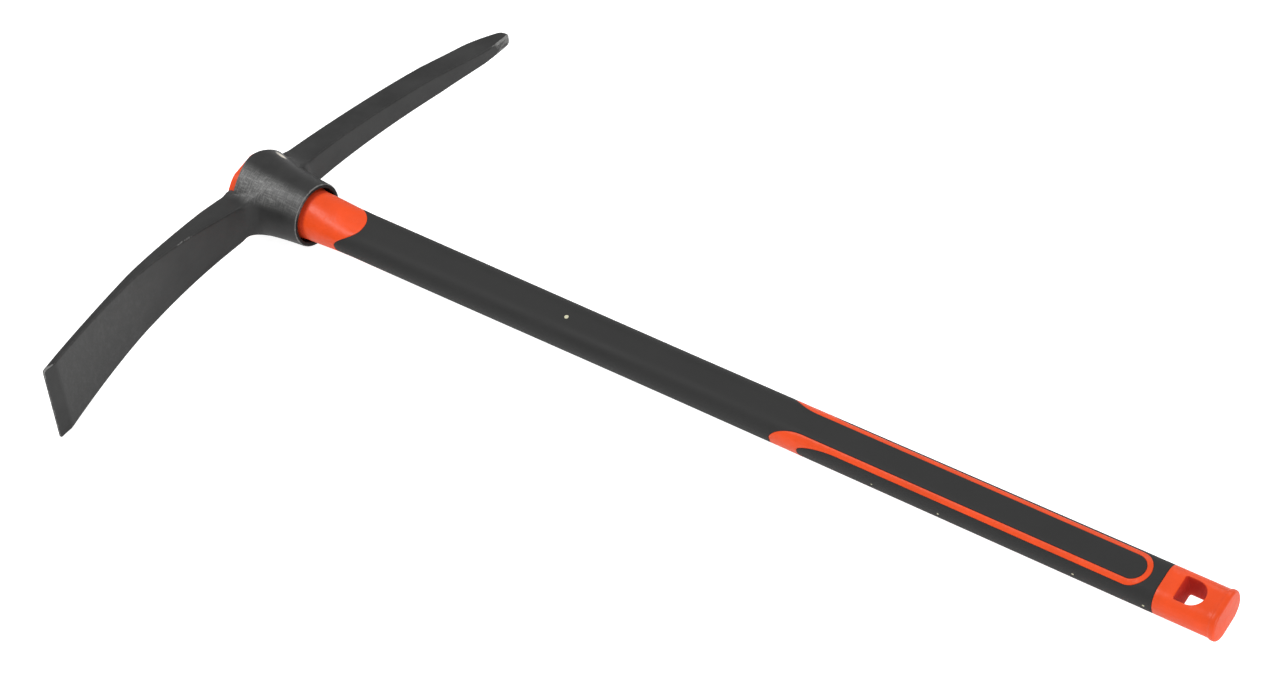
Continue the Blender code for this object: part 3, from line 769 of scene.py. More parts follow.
def rounded_rectangle(width, height, corner):
    """Points round a rectangle with rounded corners, with points along its sides too."""
    corner = min(corner, LARGEST_CORNER * width, LARGEST_CORNER * height)
    points = []
    for quarter in range(4):
        right = 1 if quarter in (0, 3) else -1
        upper = 1 if quarter in (0, 1) else -1
        for step in range(ARM_CORNER_STEPS + 1):
            angle = math.radians(90 * (quarter + step / ARM_CORNER_STEPS))
            points.append(Vector((
                right * (width / 2 - corner) + corner * math.cos(angle),
                upper * (height / 2 - corner) + corner * math.sin(angle))))
    filled = []
    for index, point in enumerate(points):
        filled.append(point)
        if (index + 1) % (ARM_CORNER_STEPS + 1) == 0:
            following = points[(index + 1) % len(points)]
            for step in range(1, ARM_SIDE_STEPS + 1):
                filled.append(point.lerp(following, step / (ARM_SIDE_STEPS + 1)))
    return filled


def arm_ring(head, side, out, y_top, y_butt, width, side_fillet):
    """Section across an arm. Near the eye it widens, least at its crest, and bends round the wall."""
    wall = eye_radius(head, ROOT_FILLET - y_butt)
    y_butt = y_butt - fillet_growth(wall + ROOT_FILLET - out, ROOT_FILLET)
    spread = fillet_growth(wall + side_fillet - out, side_fillet)
    bend = 1.0 - rising(out, wall + ROOT_FILLET, ROOT_BLEND)
    points = []
    for along, up in rounded_rectangle(y_top - y_butt, width, head.arm_edge_round):
        below_top = -(y_top + y_butt) / 2 - along
        widening = mix(min(spread, CREST_SPREAD), spread, smooth(below_top / CREST_HEIGHT))
        up *= 1.0 + 2 * widening / width
        set_back = wall - math.sqrt(max(wall * wall - up * up, 0.0))
        y = head.eye_top_y - below_top
        points.append(Vector((side * (out - bend * set_back), y, up)))
    return points


def mattock_width(head, out):
    """The arm widens fast to the start of its blade, then evenly to its rounded corners."""
    if out < MATTOCK_BLADE_OUT:
        share = clamped((out - MATTOCK_ROOT_OUT) / (MATTOCK_BLADE_OUT - MATTOCK_ROOT_OUT))
        return mix(MATTOCK_ROOT_WIDTH, MATTOCK_BLADE_WIDTH, 1.0 - (1.0 - share) ** MATTOCK_WIDENING)
    share = (out - MATTOCK_BLADE_OUT) / (head.mattock_reach - MATTOCK_BLADE_OUT)
    width = mix(MATTOCK_BLADE_WIDTH, head.mattock_edge_width, share)
    into_corner = out - (head.mattock_reach - MATTOCK_CORNER_ROUND)
    return width - 2 * fillet_growth(into_corner, MATTOCK_CORNER_ROUND)


def mattock_ring(head, out):
    """The arm thins to a blade that curves to the butt and is bevelled on that side."""
    from_crest = out - MATTOCK_CREST_OUT
    drop = MATTOCK_ARC_RADIUS - math.sqrt(MATTOCK_ARC_RADIUS ** 2 - from_crest ** 2)
    along_blade = clamped((out - MATTOCK_BLADE_OUT) / (head.mattock_reach - MATTOCK_BLADE_OUT))
    middle = -MATTOCK_CREST_DOWN - drop - MATTOCK_BLADE_SAG * math.sin(math.pi * along_blade)
    share = clamped((out - MATTOCK_ROOT_OUT) / (head.mattock_reach - MATTOCK_ROOT_OUT))
    thickness = mix(MATTOCK_BLADE_THICKNESS, MATTOCK_ROOT_THICKNESS, (1.0 - share) ** MATTOCK_THINNING)
    y_top = min(middle + thickness / 2, MATTOCK_ROOT_UP)
    y_butt = middle - thickness / 2
    into_bevel = clamped((out - (head.mattock_reach - head.mattock_bevel)) / head.mattock_bevel)
    y_butt += (MATTOCK_BLADE_THICKNESS - MATTOCK_EDGE_THICKNESS) * into_bevel
    return arm_ring(head, -1, out, y_top, y_butt, mattock_width(head, out), MATTOCK_SIDE_FILLET)


def pick_ring(head, out):
    """The arm is a curved square bar that tapers to a blunt point."""
    middle = -PICK_CREST_DOWN - PICK_ARC_RADIUS + math.sqrt(PICK_ARC_RADIUS ** 2 - out ** 2)
    middle += PICK_POINT_LIFT * rising(out, head.pick_reach - PICK_LIFT_START, PICK_POINT)
    narrowing_out = head.pick_reach - PICK_NARROWING
    along_shank = clamped((out - PICK_ROOT_OUT) / (narrowing_out - PICK_ROOT_OUT))
    width = mix(PICK_ROOT_WIDTH, PICK_SHANK_WIDTH, along_shank)
    into_narrowing = clamped((out - narrowing_out) / PICK_NARROWING)
    width = mix(PICK_POINT_WIDTH, width, (1.0 - into_narrowing) ** PICK_NARROWING_SWEEP)
    thickness = mix(PICK_SHANK_THICKNESS, PICK_ROOT_THICKNESS, (1.0 - along_shank) ** PICK_ROOT_SWEEP)
    into_point = clamped((out - (head.pick_reach - PICK_POINT)) / PICK_POINT)
    thickness -= (PICK_SHANK_THICKNESS - PICK_POINT_THICKNESS) * into_point ** PICK_POINT_SWEEP
    tip_loss = PICK_TIP_LOSS * fillet_growth(out - (head.pick_reach - PICK_TIP_ROUND), PICK_TIP_ROUND)
    half = (thickness - tip_loss) / 2
    return arm_ring(head, 1, out, middle + half, middle - half, width - tip_loss, PICK_SIDE_FILLET)


def eye_ring(head, below_top, inset):
    """Ring of the eye. The end at the top stands higher over the two cheeks."""
    radius = eye_radius(head, below_top) - inset
    raised = head.eye_cheek_rise * (1.0 - clamped(2 * below_top / head.eye_length))
    points = []
    for step in range(EYE_STEPS):
        angle = 2 * math.pi * step / EYE_STEPS
        up = radius * math.sin(angle)
        rise = raised * (math.sin(angle) ** CHEEK_NARROWNESS - CHEEK_BASE)
        points.append(Vector((radius * math.cos(angle), head.eye_top_y + rise - below_top, up)))
    return points


def eye_mesh(head):
    """The eye as a solid cone with rounded edges."""
    edge = rounded_edge(head.eye_edge_round)
    side = spaced(head.eye_edge_round, head.eye_length - head.eye_edge_round, EYE_RINGS)[1:-1]
    rings = [eye_ring(head, along, inset) for along, inset in reversed(edge)]
    rings += [eye_ring(head, below_top, 0.0) for below_top in side]
    rings += [eye_ring(head, head.eye_length - along, inset) for along, inset in edge]
    return mesh_from_rings("eye form", rings)


def bore_mesh(head):
    """Cutter for the tapered hole, flared a little at both ends so its edges are broken."""
    flare = 0.0007
    beyond = 0.010
    rings = [
        eye_ring(head, -beyond, head.eye_wall),
        eye_ring(head, 0.0, head.eye_wall),
        eye_ring(head, head.eye_length - flare, head.eye_wall),
        eye_ring(head, head.eye_length + flare, head.eye_wall - 2 * flare),
        eye_ring(head, head.eye_length + beyond, head.eye_wall - 2 * flare),
    ]
    return mesh_from_rings("bore form", rings)


def joined_mesh(name, meshes):
    """Put several meshes into one, without welding them."""
    shape = bmesh.new()
    for mesh in meshes:
        shape.from_mesh(mesh)
    return finished_mesh(name, shape)


def junction_weight(head, point):
    """1 where an arm grows out of the eye, falling to 0 away from it and at the crest."""
    off_ring = abs(math.hypot(point.x, point.z) - SOFT_RING_RADIUS)
    near_wall = 1.0 - rising(off_ring, SOFT_RING_HALF, SOFT_RING_FADE)
    on_arm_side = rising(abs(point.x), SOFT_FROM_SIDE, SOFT_FADE)
    under_crest = rising(head.eye_top_y - point.y, SOFT_BELOW_TOP, SOFT_FADE)
    return near_wall * on_arm_side * under_crest


def blended_surface(head, forms):
    """Fuse the forms to one skin, soften it at the arms' roots, and keep it true elsewhere."""
    fused = add_object("fused form", joined_mesh("fused form", [form.data for form in forms]))
    remesh = fused.modifiers.new("fuse", "REMESH")
    remesh.mode = "VOXEL"
    remesh.voxel_size = head.grain
    applied(fused)
    exact = forms[0]
    for form in forms[1:]:
        boolean(exact, "UNION", form)
    bpy.context.view_layer.update()
    graph = bpy.context.evaluated_depsgraph_get()
    target = BVHTree.FromObject(exact, graph)

    roots = fused.vertex_groups.new(name="arm roots")
    weights = [junction_weight(head, vertex.co) for vertex in fused.data.vertices]
    for index, weight in enumerate(weights):
        if weight > 0.0:
            roots.add([index], weight, "REPLACE")
    soften = fused.modifiers.new("soften", "SMOOTH")
    soften.factor = 0.5
    soften.iterations = 40
    soften.vertex_group = roots.name
    applied(fused)
    for vertex, weight in zip(fused.data.vertices, weights):
        if weight < 1.0:
            nearest = target.find_nearest(vertex.co)[0]
            vertex.co = nearest.lerp(vertex.co, weight)
    return fused


def value_attribute(mesh, name, values):
    """Keep a value at each vertex of a mesh for its material."""
    layer = mesh.attributes.new(name, "FLOAT", "POINT")
    layer.data.foreach_set("value", values)


# Curvature at which an edge counts as fully sharp, and the shortest edge it is measured on
SHARP_CURVATURE = 380.0
SHORTEST_EDGE = 0.0002

# Edges of the head, and a chipped stretch of the mattock's edge
EDGE_WEAR = 0.27
CHIP_WEAR = 0.34
CHIPS_OUT = 0.100
CHIPS_REACH = 0.010
CHIPS_CORE = 1.4

# Tip of the pick, with the shares that are left away from the butt side, off its edges
# and on them
PICK_TIP_WEAR = 0.48
PICK_TIP_WORN = 0.028
PICK_TIP_FADE = 0.013
PICK_TIP_AWAY = 0.35
PICK_TIP_FLAT = 0.9
PICK_TIP_SHARP = 1.3

# Cutting edge of the mattock, and its upper corner off its edges and on them
BLADE_EDGE_WEAR = 0.20
BLADE_EDGE_WORN = 0.004
BLADE_CORNER_WORN = 0.016
BLADE_CORNER_FLAT = 0.12
BLADE_CORNER_SHARP = 1.02

# Bright line round the eye's mouth, and painted shade on the end face inside it, which faces the front
# light
MOUTH_WEAR = 0.42
MOUTH_LINE_UP = 0.0004
MOUTH_LINE_IN = 0.0003
MOUTH_LINE_LENGTH = 0.0014
MOUTH_LINE_WIDTH = 0.0011
MOUTH_SHADE_LENGTH = 0.0025
MOUTH_SHADE_INSIDE = 0.0002
MOUTH_SHADE_FADE = 0.0008

# Spot beside the pick's root that is rubbed to bare steel
SPOT_WEAR = 0.85
SPOT_PLACE = Vector((0.0208, 0.8840, 0.0264))
SPOT_RADIUS = 0.0045
SPOT_CORE = 1.25
SPOT_FOCUS = 2.5

# Scuffed band along the eye's wall, which also paints the key light's highlight on it, in
# degrees round from the pick, and how it grows from the mouth to the top by shares of the eye's length
BAND_MIDDLE = 127.0
BAND_HALF = 30.0
BAND_FADE = 22.0
BAND_AT_MOUTH = 0.66
BAND_AT_TOP = 1.06
BAND_GROWTH_START = 0.22
BAND_GROWTH_LENGTH = 0.3

# Painted light on the blade's butt side, which faces the front light, up to the bevel, broken up by
# scratches
BLADE_PAINTED_LIGHT = 0.13
BLADE_PAINTED_LIGHT_OUT = 0.10
BLADE_PAINTED_LIGHT_FADE = 0.08
BEVEL_FADE = 0.004
EYE_FADE = 0.004


def convexity(mesh):
    """How sharply the surface turns outwards at each vertex, from 0 to 1."""
    totals = [0.0] * len(mesh.vertices)
    counts = [0] * len(mesh.vertices)
    normals = [normal.vector.copy() for normal in mesh.vertex_normals]
    for edge in mesh.edges:
        first, second = edge.vertices
        along = mesh.vertices[second].co - mesh.vertices[first].co
        length = max(along.length, SHORTEST_EDGE)
        turn = (normals[second] - normals[first]).dot(along) / (length * length)
        for index in (first, second):
            totals[index] += turn
            counts[index] += 1
    return [clamped(total / max(count, 1) / SHARP_CURVATURE) for total, count in zip(totals, counts)]


def bare_spot(point):
    """1 in the middle of the spot beside the pick's root that is rubbed to bare steel."""
    off_spot = point - SPOT_PLACE
    return near(Vector((off_spot.x, off_spot.y / 2, off_spot.z)).length, SPOT_RADIUS, SPOT_CORE)


def head_wear(head, point, facing, sharpness):
    """How worn the lacquer is at a point: on edges, at both tips and round the mouth."""
    chips = CHIP_WEAR * near(point.x + CHIPS_OUT, CHIPS_REACH, CHIPS_CORE)
    edge = (EDGE_WEAR + chips) * sharpness
    pick_tip = PICK_TIP_WEAR * rising(point.x, head.pick_reach - PICK_TIP_WORN, PICK_TIP_FADE)
    pick_tip *= mix(PICK_TIP_AWAY, 1.0, clamped(-facing.y))
    pick_tip *= mix(PICK_TIP_FLAT, PICK_TIP_SHARP, sharpness)
    blade = BLADE_EDGE_WEAR * rising(-point.x, head.mattock_reach - BLADE_EDGE_WORN, BLADE_EDGE_WORN)
    off_corner = math.hypot(point.x + head.mattock_reach, point.z - head.mattock_edge_width / 2)
    on_corner_edge = sharpness * clamped(2 * facing.z) * clamped(-2 * facing.y)
    corner = near(off_corner, BLADE_CORNER_WORN)
    corner *= mix(BLADE_CORNER_FLAT, BLADE_CORNER_SHARP, on_corner_edge)
    off_mouth = head.eye_top_y - point.y - head.eye_length + MOUTH_LINE_UP
    off_rim = math.hypot(point.x, point.z) - head.eye_mouth_radius + MOUTH_LINE_IN
    mouth = MOUTH_WEAR * near(off_mouth, MOUTH_LINE_LENGTH) * near(off_rim, MOUTH_LINE_WIDTH)
    return edge + pick_tip + blade + corner + mouth + SPOT_WEAR * bare_spot(point)


def mouth_painted_shade(head, point, facing):
    """1 on the eye's end face at its mouth, inside the edge: painted shade that darkens and dulls the
    lacquer there.
    """
    at_mouth = near(head.eye_top_y - point.y - head.eye_length, MOUTH_SHADE_LENGTH)
    inside_edge = smooth(
        (head.eye_mouth_radius - MOUTH_SHADE_INSIDE - math.hypot(point.x, point.z)) / MOUTH_SHADE_FADE)
    return at_mouth * inside_edge * clamped(-2 * facing.y)


def scuffs_and_highlight(head, point, facing):
    """Scuffs with a painted highlight in a band along the eye, and painted light on the blade's butt
    side that faces the front light.
    """
    on_eye = 1.0 - rising(math.hypot(point.x, point.z), head.eye_top_radius, EYE_FADE)
    off_band = abs(math.degrees(math.atan2(point.z, point.x)) - BAND_MIDDLE)
    band = smooth((BAND_HALF - off_band) / BAND_FADE)
    from_mouth = clamped((point.y - head.eye_top_y + head.eye_length) / head.eye_length)
    growth = rising(from_mouth, BAND_GROWTH_START, BAND_GROWTH_LENGTH)
    on_band = on_eye * band * mix(BAND_AT_MOUTH, BAND_AT_TOP, growth)
    # Painted light on the blade's butt side, where it faces the front light
    before_bevel = rising(point.x, head.mattock_bevel - head.mattock_reach, BEVEL_FADE)
    out_on_blade = rising(-point.x, BLADE_PAINTED_LIGHT_OUT, BLADE_PAINTED_LIGHT_FADE)
    return on_band + BLADE_PAINTED_LIGHT * out_on_blade * before_bevel * clamped(-facing.y)


def arm_form(name, head, ring_at, reach, end_length, end_rings):
    """Skin an arm from inside the eye to its end, with closer rings over its rounded end."""
    places = spaced(ARM_START, reach - end_length, ARM_RINGS)[:-1]
    places += spaced(reach - end_length, reach, end_rings)
    return add_object(name, mesh_from_rings(name, [ring_at(head, out) for out in places]))


def make_head(head):
    """Fuse the arms and the eye, cut the tapered hole, and mark where the lacquer is worn and where
    highlight, light and shade are painted on it.
    """
    mattock = arm_form(
        "mattock form", head, mattock_ring, head.mattock_reach, MATTOCK_CORNER_ROUND, MATTOCK_END_RINGS)
    pick = arm_form("pick form", head, pick_ring, head.pick_reach, PICK_TIP_ROUND, PICK_END_RINGS)
    eye = add_object("eye form", eye_mesh(head))
    piece = blended_surface(head, [mattock, pick, eye])
    piece.name = "head_forging"
    bore = add_object("bore form", bore_mesh(head))
    boolean(piece, "DIFFERENCE", bore)
    applied(piece)
    discard(mattock, pick, eye, bore)
    shade(piece, HEAD_SHARP_DEGREES)
    mesh = piece.data
    points = [vertex.co.copy() for vertex in mesh.vertices]
    facings = [normal.vector.copy() for normal in mesh.vertex_normals]
    faced = list(zip(points, facings))
    value_attribute(mesh, "worn", [
        head_wear(head, point, facing, sharpness)
        for (point, facing), sharpness in zip(faced, convexity(mesh))])
    # Scuffs with a painted highlight along the eye, and painted light on the blade's butt side, kept as
    # the rubbed value
    value_attribute(mesh, "rubbed", [scuffs_and_highlight(head, point, facing) for point, facing in faced])
    value_attribute(mesh, "bare", [bare_spot(point) ** SPOT_FOCUS for point in points])
    # Painted shade on the eye's end face at its mouth, kept as the scale value
    value_attribute(mesh, "scale", [mouth_painted_shade(head, point, facing) for point, facing in faced])
    return piece


# Handle

# Fineness of the skins: columns to a quarter turn, columns across a stripe or strip, rows
# down a leaf or nose, round a loop and along the round end, and the spacing of the rows
# along the shaft
COLUMNS = 12
BAND_COLUMNS = 5
SWEPT_ROWS = 16
LOOP_ROWS = 14
SURROUND_ROWS = 24
COLLAR_ROWS = 24
END_ROWS = 10
SHAFT_ROW = 0.012

# Angles from which an edge of a skin is rolled, and is shaded sharp
SKIN_ROLL_DEGREES = 55
SKIN_SHARP_DEGREES = 50

# Share of the side grip's rows round a loop that reach out to the narrow side. The rest
# reach down to the cap.
SURROUND_SIDE = 0.45

# How steeply the long sleeve's head edge rises to the narrow sides
SLEEVE_EDGE_SWEEP = 2.6

# Round end of the handle: its gap in the eye, its edge, and the flats over the broad faces
END_GAP = 0.0003
END_ROUND = 0.0019
END_FLAT = 0.0019

# Rings that fill the handle's end face, as shares of its radius
END_FACE_RINGS = (0.9, 0.6, 0.3, 0.0)

# Painted shade: a deeper ring of orange round the collar at the eye's mouth, where the eye shades it
RING_PAINTED_SHADE = 0.6
RING_REACH = 0.0021429
RING_CORE = 1.8

# Broken edge of the cap beside the sleeves: distances from its end and from its side
CAP_HEAD_EDGE = ((0.0005, 0.0), (0.00015, 0.00012), (0.0, 0.0004))

# Fineness of the cap, and the angle from which an edge of it is shaded sharp
LIP_ROWS = 6
CAP_ROWS = 20
HOLE_CORNER_STEPS = 6
HOLE_ARC_STEPS = 40
CAP_SHARP_DEGREES = 40

# Cutter of the hanging hole: how far it stands out of the cap, how far over the faces it
# starts to narrow, and how deep it reaches its full narrowness
HOLE_CUT_MARGIN = 0.002
HOLE_FACE_MARGIN = 0.0001
HOLE_WALL_DEPTH = 0.0030

# Marks left by the mould's locating pins: quarter turns from the top, place along the
# handle, and radius. Four run down the narrow side on the mattock's side.
PIN_MARKS = (
    (3.04, 0.0555, 0.0009), (3.04, 0.1120, 0.0009), (3.04, 0.2240, 0.0008), (3.04, 0.2811, 0.0006),
    (0.00, 0.5714, 0.0017))

# A pin mark's section from its rim in: share of its radius, and height over the sleeve
PIN_PROFILE = ((1.0, -0.0006), (1.0, 0.00004), (0.85, 0.00010), (0.3, 0.00012))
PIN_SIDES = 20
PIN_TURN = 0.02


def cap_end_y():
    """Place along the handle where the cap ends."""
    return bpy.context.scene.pickaxe_cap.length


def shaft_width(handle, y):
    """The shaft is slimmest at its waist and widens gently both ways."""
    if y > handle.waist_y:
        share = (y - handle.waist_y) / (handle.sleeve_face_edge_y - handle.waist_y)
        return mix(handle.width_at_waist, handle.width_at_collar, smooth(share))
    share = (handle.waist_y - y) / (handle.waist_y - cap_end_y())
    return mix(handle.width_at_waist, handle.width_at_butt, smooth(share))


def quarter_sizes(handle, y, inset):
    """Flat half of the broad face, corner radius and flat half of the narrow side."""
    corner = handle.corner - inset
    flat = shaft_width(handle, y) / 2 - inset - corner
    side = handle.thickness / 2 - inset - corner
    return flat, corner, side


def oblong_point(handle, turn, y, inset):
    """Point of the shaft's section, a share of a quarter turn from the broad face's middle."""
    flat, corner, side = quarter_sizes(handle, y, inset)
    along = turn * (flat + corner * math.pi / 2 + side)
    if along < flat:
        return Vector((along, side + corner))
    if along > flat + corner * math.pi / 2:
        return Vector((flat + corner, side + corner * math.pi / 2 + flat - along))
    angle = (along - flat) / corner
    return Vector((flat + corner * math.sin(angle), side + corner * math.cos(angle)))


def turn_at(handle, x, y):
    """Share of a quarter turn at which the shaft's section is this far from its middle."""
    flat, corner, side = quarter_sizes(handle, y, 0.0)
    x = min(x, flat + corner)
    if x < flat:
        along = x
    else:
        along = flat + corner * math.asin(min((x - flat) / corner, 1.0))
        if x >= flat + corner:
            along += side
    return along / (flat + corner * math.pi / 2 + side)


def mouth_y():
    """Place along the handle of the eye's mouth."""
    head = bpy.context.scene.pickaxe_head
    return head.eye_top_y - head.eye_length


def mouth_radius(handle):
    """Radius of the handle in the eye's mouth."""
    head = bpy.context.scene.pickaxe_head
    return head.eye_mouth_radius - head.eye_wall - handle.collar_clearance


def handle_point(handle, turns, y, inset=0.0):
    """Point of the handle's surface, by quarter turns from the top, round to oblong."""
    turns = turns % 4.0
    quarter = int(turns)
    share = turns - quarter
    if quarter % 2 == 1:
        share = 1.0 - share
    oblong = smooth((mouth_y() - y) / handle.collar_length)
    section = oblong_point(handle, share, y, inset)
    if oblong < 1.0:
        angle = share * math.pi / 2
        radius = mouth_radius(handle) - inset
        section = Vector((radius * math.sin(angle), radius * math.cos(angle))).lerp(section, oblong)
    across, up = section
    if quarter in (2, 3):
        across = -across
    if quarter in (1, 2):
        up = -up
    return Vector((across, y, up))


def face_point(handle, x, y):
    """Point of the upper broad face, straight above a place on the plan."""
    return handle_point(handle, math.copysign(turn_at(handle, abs(x), y), x), y)


def swept_edge(handle, start_y, length, half_width, y):
    """Edge of a piece that sweeps from the narrow side, at its start, onto the broad face."""
    share = clamped((start_y - y) / length)
    return mix(half_width, shaft_width(handle, start_y) / 2, (1.0 - share) ** 2)


def panel_edge(handle, y):
    """Half the width of the black centre panel."""
    return swept_edge(handle, handle.leaf_y, handle.leaf_length, handle.panel_half_width, y)


def stripe_half_width(handle):
    """Half the width of the looped stripe, over its outer edges."""
    return handle.panel_half_width + handle.stripe_width


def stripe_edge(handle, y):
    """From the middle of the broad face to the stripe's outer edge."""
    return swept_edge(handle, handle.nose_y, handle.nose_length, stripe_half_width(handle), y)


def loop_centre_y(handle):
    """Place along the handle of the loop's centre."""
    return handle.loop_end_y + stripe_half_width(handle)


def swept_rows(start, length):
    """Places down a leaf or nose, closest where it starts, on the narrow side."""
    return [start - length * (step / SWEPT_ROWS) ** 2 for step in range(SWEPT_ROWS + 1)]


def even_rows(start, end):
    """Evenly spaced places along the shaft."""
    return spaced(start, end, max(1, round(abs(end - start) / SHAFT_ROW)))


def down_to_loop(handle, swept):
    """Rows down the grip: the swept ones, then even ones to the loop's centre."""
    return swept + even_rows(swept[-1], loop_centre_y(handle))[1:]


def handle_rings(handle, profile, steps):
    """Closed rings round the handle, at each place and inset of a profile."""
    return [
        [handle_point(handle, turns, y, inset) for turns in all_round(steps)[:-1]]
        for y, inset in profile]


def mirrored(grid, side, face):
    """Copy of a grid on another side and face of the handle."""
    return [[Vector((side * x, y, face * z)) for x, y, z in row] for row in grid]


def all_quarters(grid):
    """Copies of a grid on the upper right quarter for all four quarters."""
    return [mirrored(grid, side, face) for side in (1, -1) for face in (1, -1)]


def sleeve_head_edge_y(handle, turns):
    """Place of the long sleeve's head edge, which rises to the narrow sides."""
    x = handle_point(handle, turns, handle.sleeve_face_edge_y).x
    rise = (2 * abs(x) / handle.width_at_collar) ** SLEEVE_EDGE_SWEEP
    return mix(handle.sleeve_face_edge_y, handle.sleeve_side_edge_y, rise)


def skin(name, handle, grids, thickness):
    """Make a moulded skin from grids on the handle's surface, with rolled edges."""
    mesh = mesh_from_grids(name, grids)
    face_outwards(mesh)
    piece = add_object(name, mesh)
    shell = piece.modifiers.new("thickness", "SOLIDIFY")
    shell.thickness = thickness
    shell.offset = -1.0
    shell.use_even_offset = False
    roll = piece.modifiers.new("roll", "BEVEL")
    roll.width = handle.edge_roll
    roll.segments = 2
    roll.limit_method = "ANGLE"
    roll.angle_limit = math.radians(SKIN_ROLL_DEGREES)
    roll.use_clamp_overlap = False
    applied(piece)
    shade(piece, SKIN_SHARP_DEGREES)
    return piece


def coons_patch(top, bottom, left, right):
    """Fill four boundary rows of plan points with an even grid."""
    rows = []
    for row_index, (start, end) in enumerate(zip(left, right)):
        down = row_index / (len(left) - 1)
        row = []
        for index, (upper, lower) in enumerate(zip(top, bottom)):
            across = index / (len(top) - 1)
            ruled = upper.lerp(lower, down) + start.lerp(end, across)
            corners = top[0].lerp(top[-1], across).lerp(bottom[0].lerp(bottom[-1], across), down)
            row.append(ruled - corners)
        rows.append(row)
    return rows


def arc_points(radius, centre_y, first, last, steps):
    """Plan points on a circle below its centre, by degrees from its left side."""
    points = []
    for degrees in spaced(first, last, steps):
        x, drop = on_circle(radius, degrees)
        points.append(Vector((-x, centre_y - drop)))
    return points


def panel_row(handle, half_width, y):
    """Points across the black centre panel, from its left edge to its right edge."""
    edge = turn_at(handle, half_width, y)
    return [handle_point(handle, share * edge, y) for share in spaced(-1.0, 1.0, 2 * COLUMNS)]


def panel_end(handle):
    """Plan points of the panel's round end, below the loop's centre."""
    radius = handle.panel_half_width
    centre_y = loop_centre_y(handle)
    top = [point.xy for point in panel_row(handle, radius, centre_y)]
    left = arc_points(radius, centre_y, 0, 45, COLUMNS)
    right = [Vector((-x, y)) for x, y in left]
    bottom = arc_points(radius, centre_y, 45, 135, 2 * COLUMNS)
    return coons_patch(top, bottom, left, right)


def make_long_sleeve(handle):
    """Full tube round the upper shaft, and a panel down each broad face to its loop."""
    tube = []
    rows = round((handle.sleeve_face_edge_y - handle.leaf_y) / SHAFT_ROW)
    for share in spaced(0.0, 1.0, rows):
        tube.append([
            handle_point(handle, turns, mix(handle.leaf_y, sleeve_head_edge_y(handle, turns), share))
            for turns in all_round(4 * COLUMNS)])
    places = down_to_loop(handle, swept_rows(handle.leaf_y, handle.leaf_length))
    panel = [panel_row(handle, panel_edge(handle, y), y) for y in places]
    end = [[face_point(handle, x, y) for x, y in row] for row in panel_end(handle)]
    grids = [tube]
    for face in (1, -1):
        grids += [mirrored(panel, 1, face), mirrored(end, 1, face)]
    return skin("long_sleeve", handle, grids, handle.sleeve_thickness - handle.seam)


def between(handle, inner, outer):
    """Points across a strip, from one pair of turn and place along the handle to another."""
    return [
        handle_point(handle, mix(inner[0], outer[0], share), mix(inner[1], outer[1], share))
        for share in spaced(0, 1, BAND_COLUMNS)]


def make_side_grip(handle):
    """Strips on both narrow sides, joined round the ends of the loops."""
    places = down_to_loop(handle, swept_rows(handle.nose_y, handle.nose_length))
    strip = []
    for y in places:
        strip.append(between(handle, (turn_at(handle, stripe_edge(handle, y), y), y), (RIGHT, y)))
    centre_y = loop_centre_y(handle)
    end_y = cap_end_y() + handle.seam
    surround = []
    for share in spaced(0.0, 1.0, SURROUND_ROWS):
        x, drop = on_circle(stripe_half_width(handle), 90 * share)
        inner = (turn_at(handle, x, centre_y - drop), centre_y - drop)
        outer = (RIGHT, mix(centre_y, end_y, share / SURROUND_SIDE))
        if share >= SURROUND_SIDE:
            outer = (mix(RIGHT, TOP, (share - SURROUND_SIDE) / (1 - SURROUND_SIDE)), end_y)
        surround.append(between(handle, inner, outer))
    grids = all_quarters(strip) + all_quarters(surround)
    return skin("side_grip_strips", handle, grids, handle.sleeve_thickness - handle.seam)


def make_bands(handle):
    """Orange leaves on the narrow sides and the looped stripes on both broad faces."""
    seam = handle.seam
    tip_gap = 4 * seam
    swept = set(swept_rows(handle.leaf_y - tip_gap, handle.leaf_length - tip_gap))
    swept.update(swept_rows(handle.nose_y + seam, handle.nose_length))
    strip = []
    for y in down_to_loop(handle, sorted(swept, reverse=True)):
        inner = turn_at(handle, panel_edge(handle, y) + seam, y)
        outer = RIGHT
        if y < handle.nose_y + seam:
            outer = turn_at(handle, stripe_edge(handle, y) - seam, y)
        strip.append(between(handle, (inner, y), (outer, y)))
    loop = []
    centre_y = loop_centre_y(handle)
    for degrees in spaced(0, 90, LOOP_ROWS):
        places = [on_circle(point.x, degrees) for point in strip[-1]]
        loop.append([face_point(handle, x, centre_y - drop) for x, drop in places])
    grids = all_quarters(strip) + all_quarters(loop)
    return skin("orange_bands", handle, grids, handle.sleeve_thickness)


def end_point(radius, y, flat, turns):
    """Point of the handle's round end, with a flat over each broad face."""
    angle = turns * math.pi / 2
    half_height = max(radius - flat, 0.0)
    reach = radius
    if radius * abs(math.cos(angle)) > half_height:
        reach = half_height / abs(math.cos(angle))
    return Vector((reach * math.sin(angle), y, reach * math.cos(angle)))


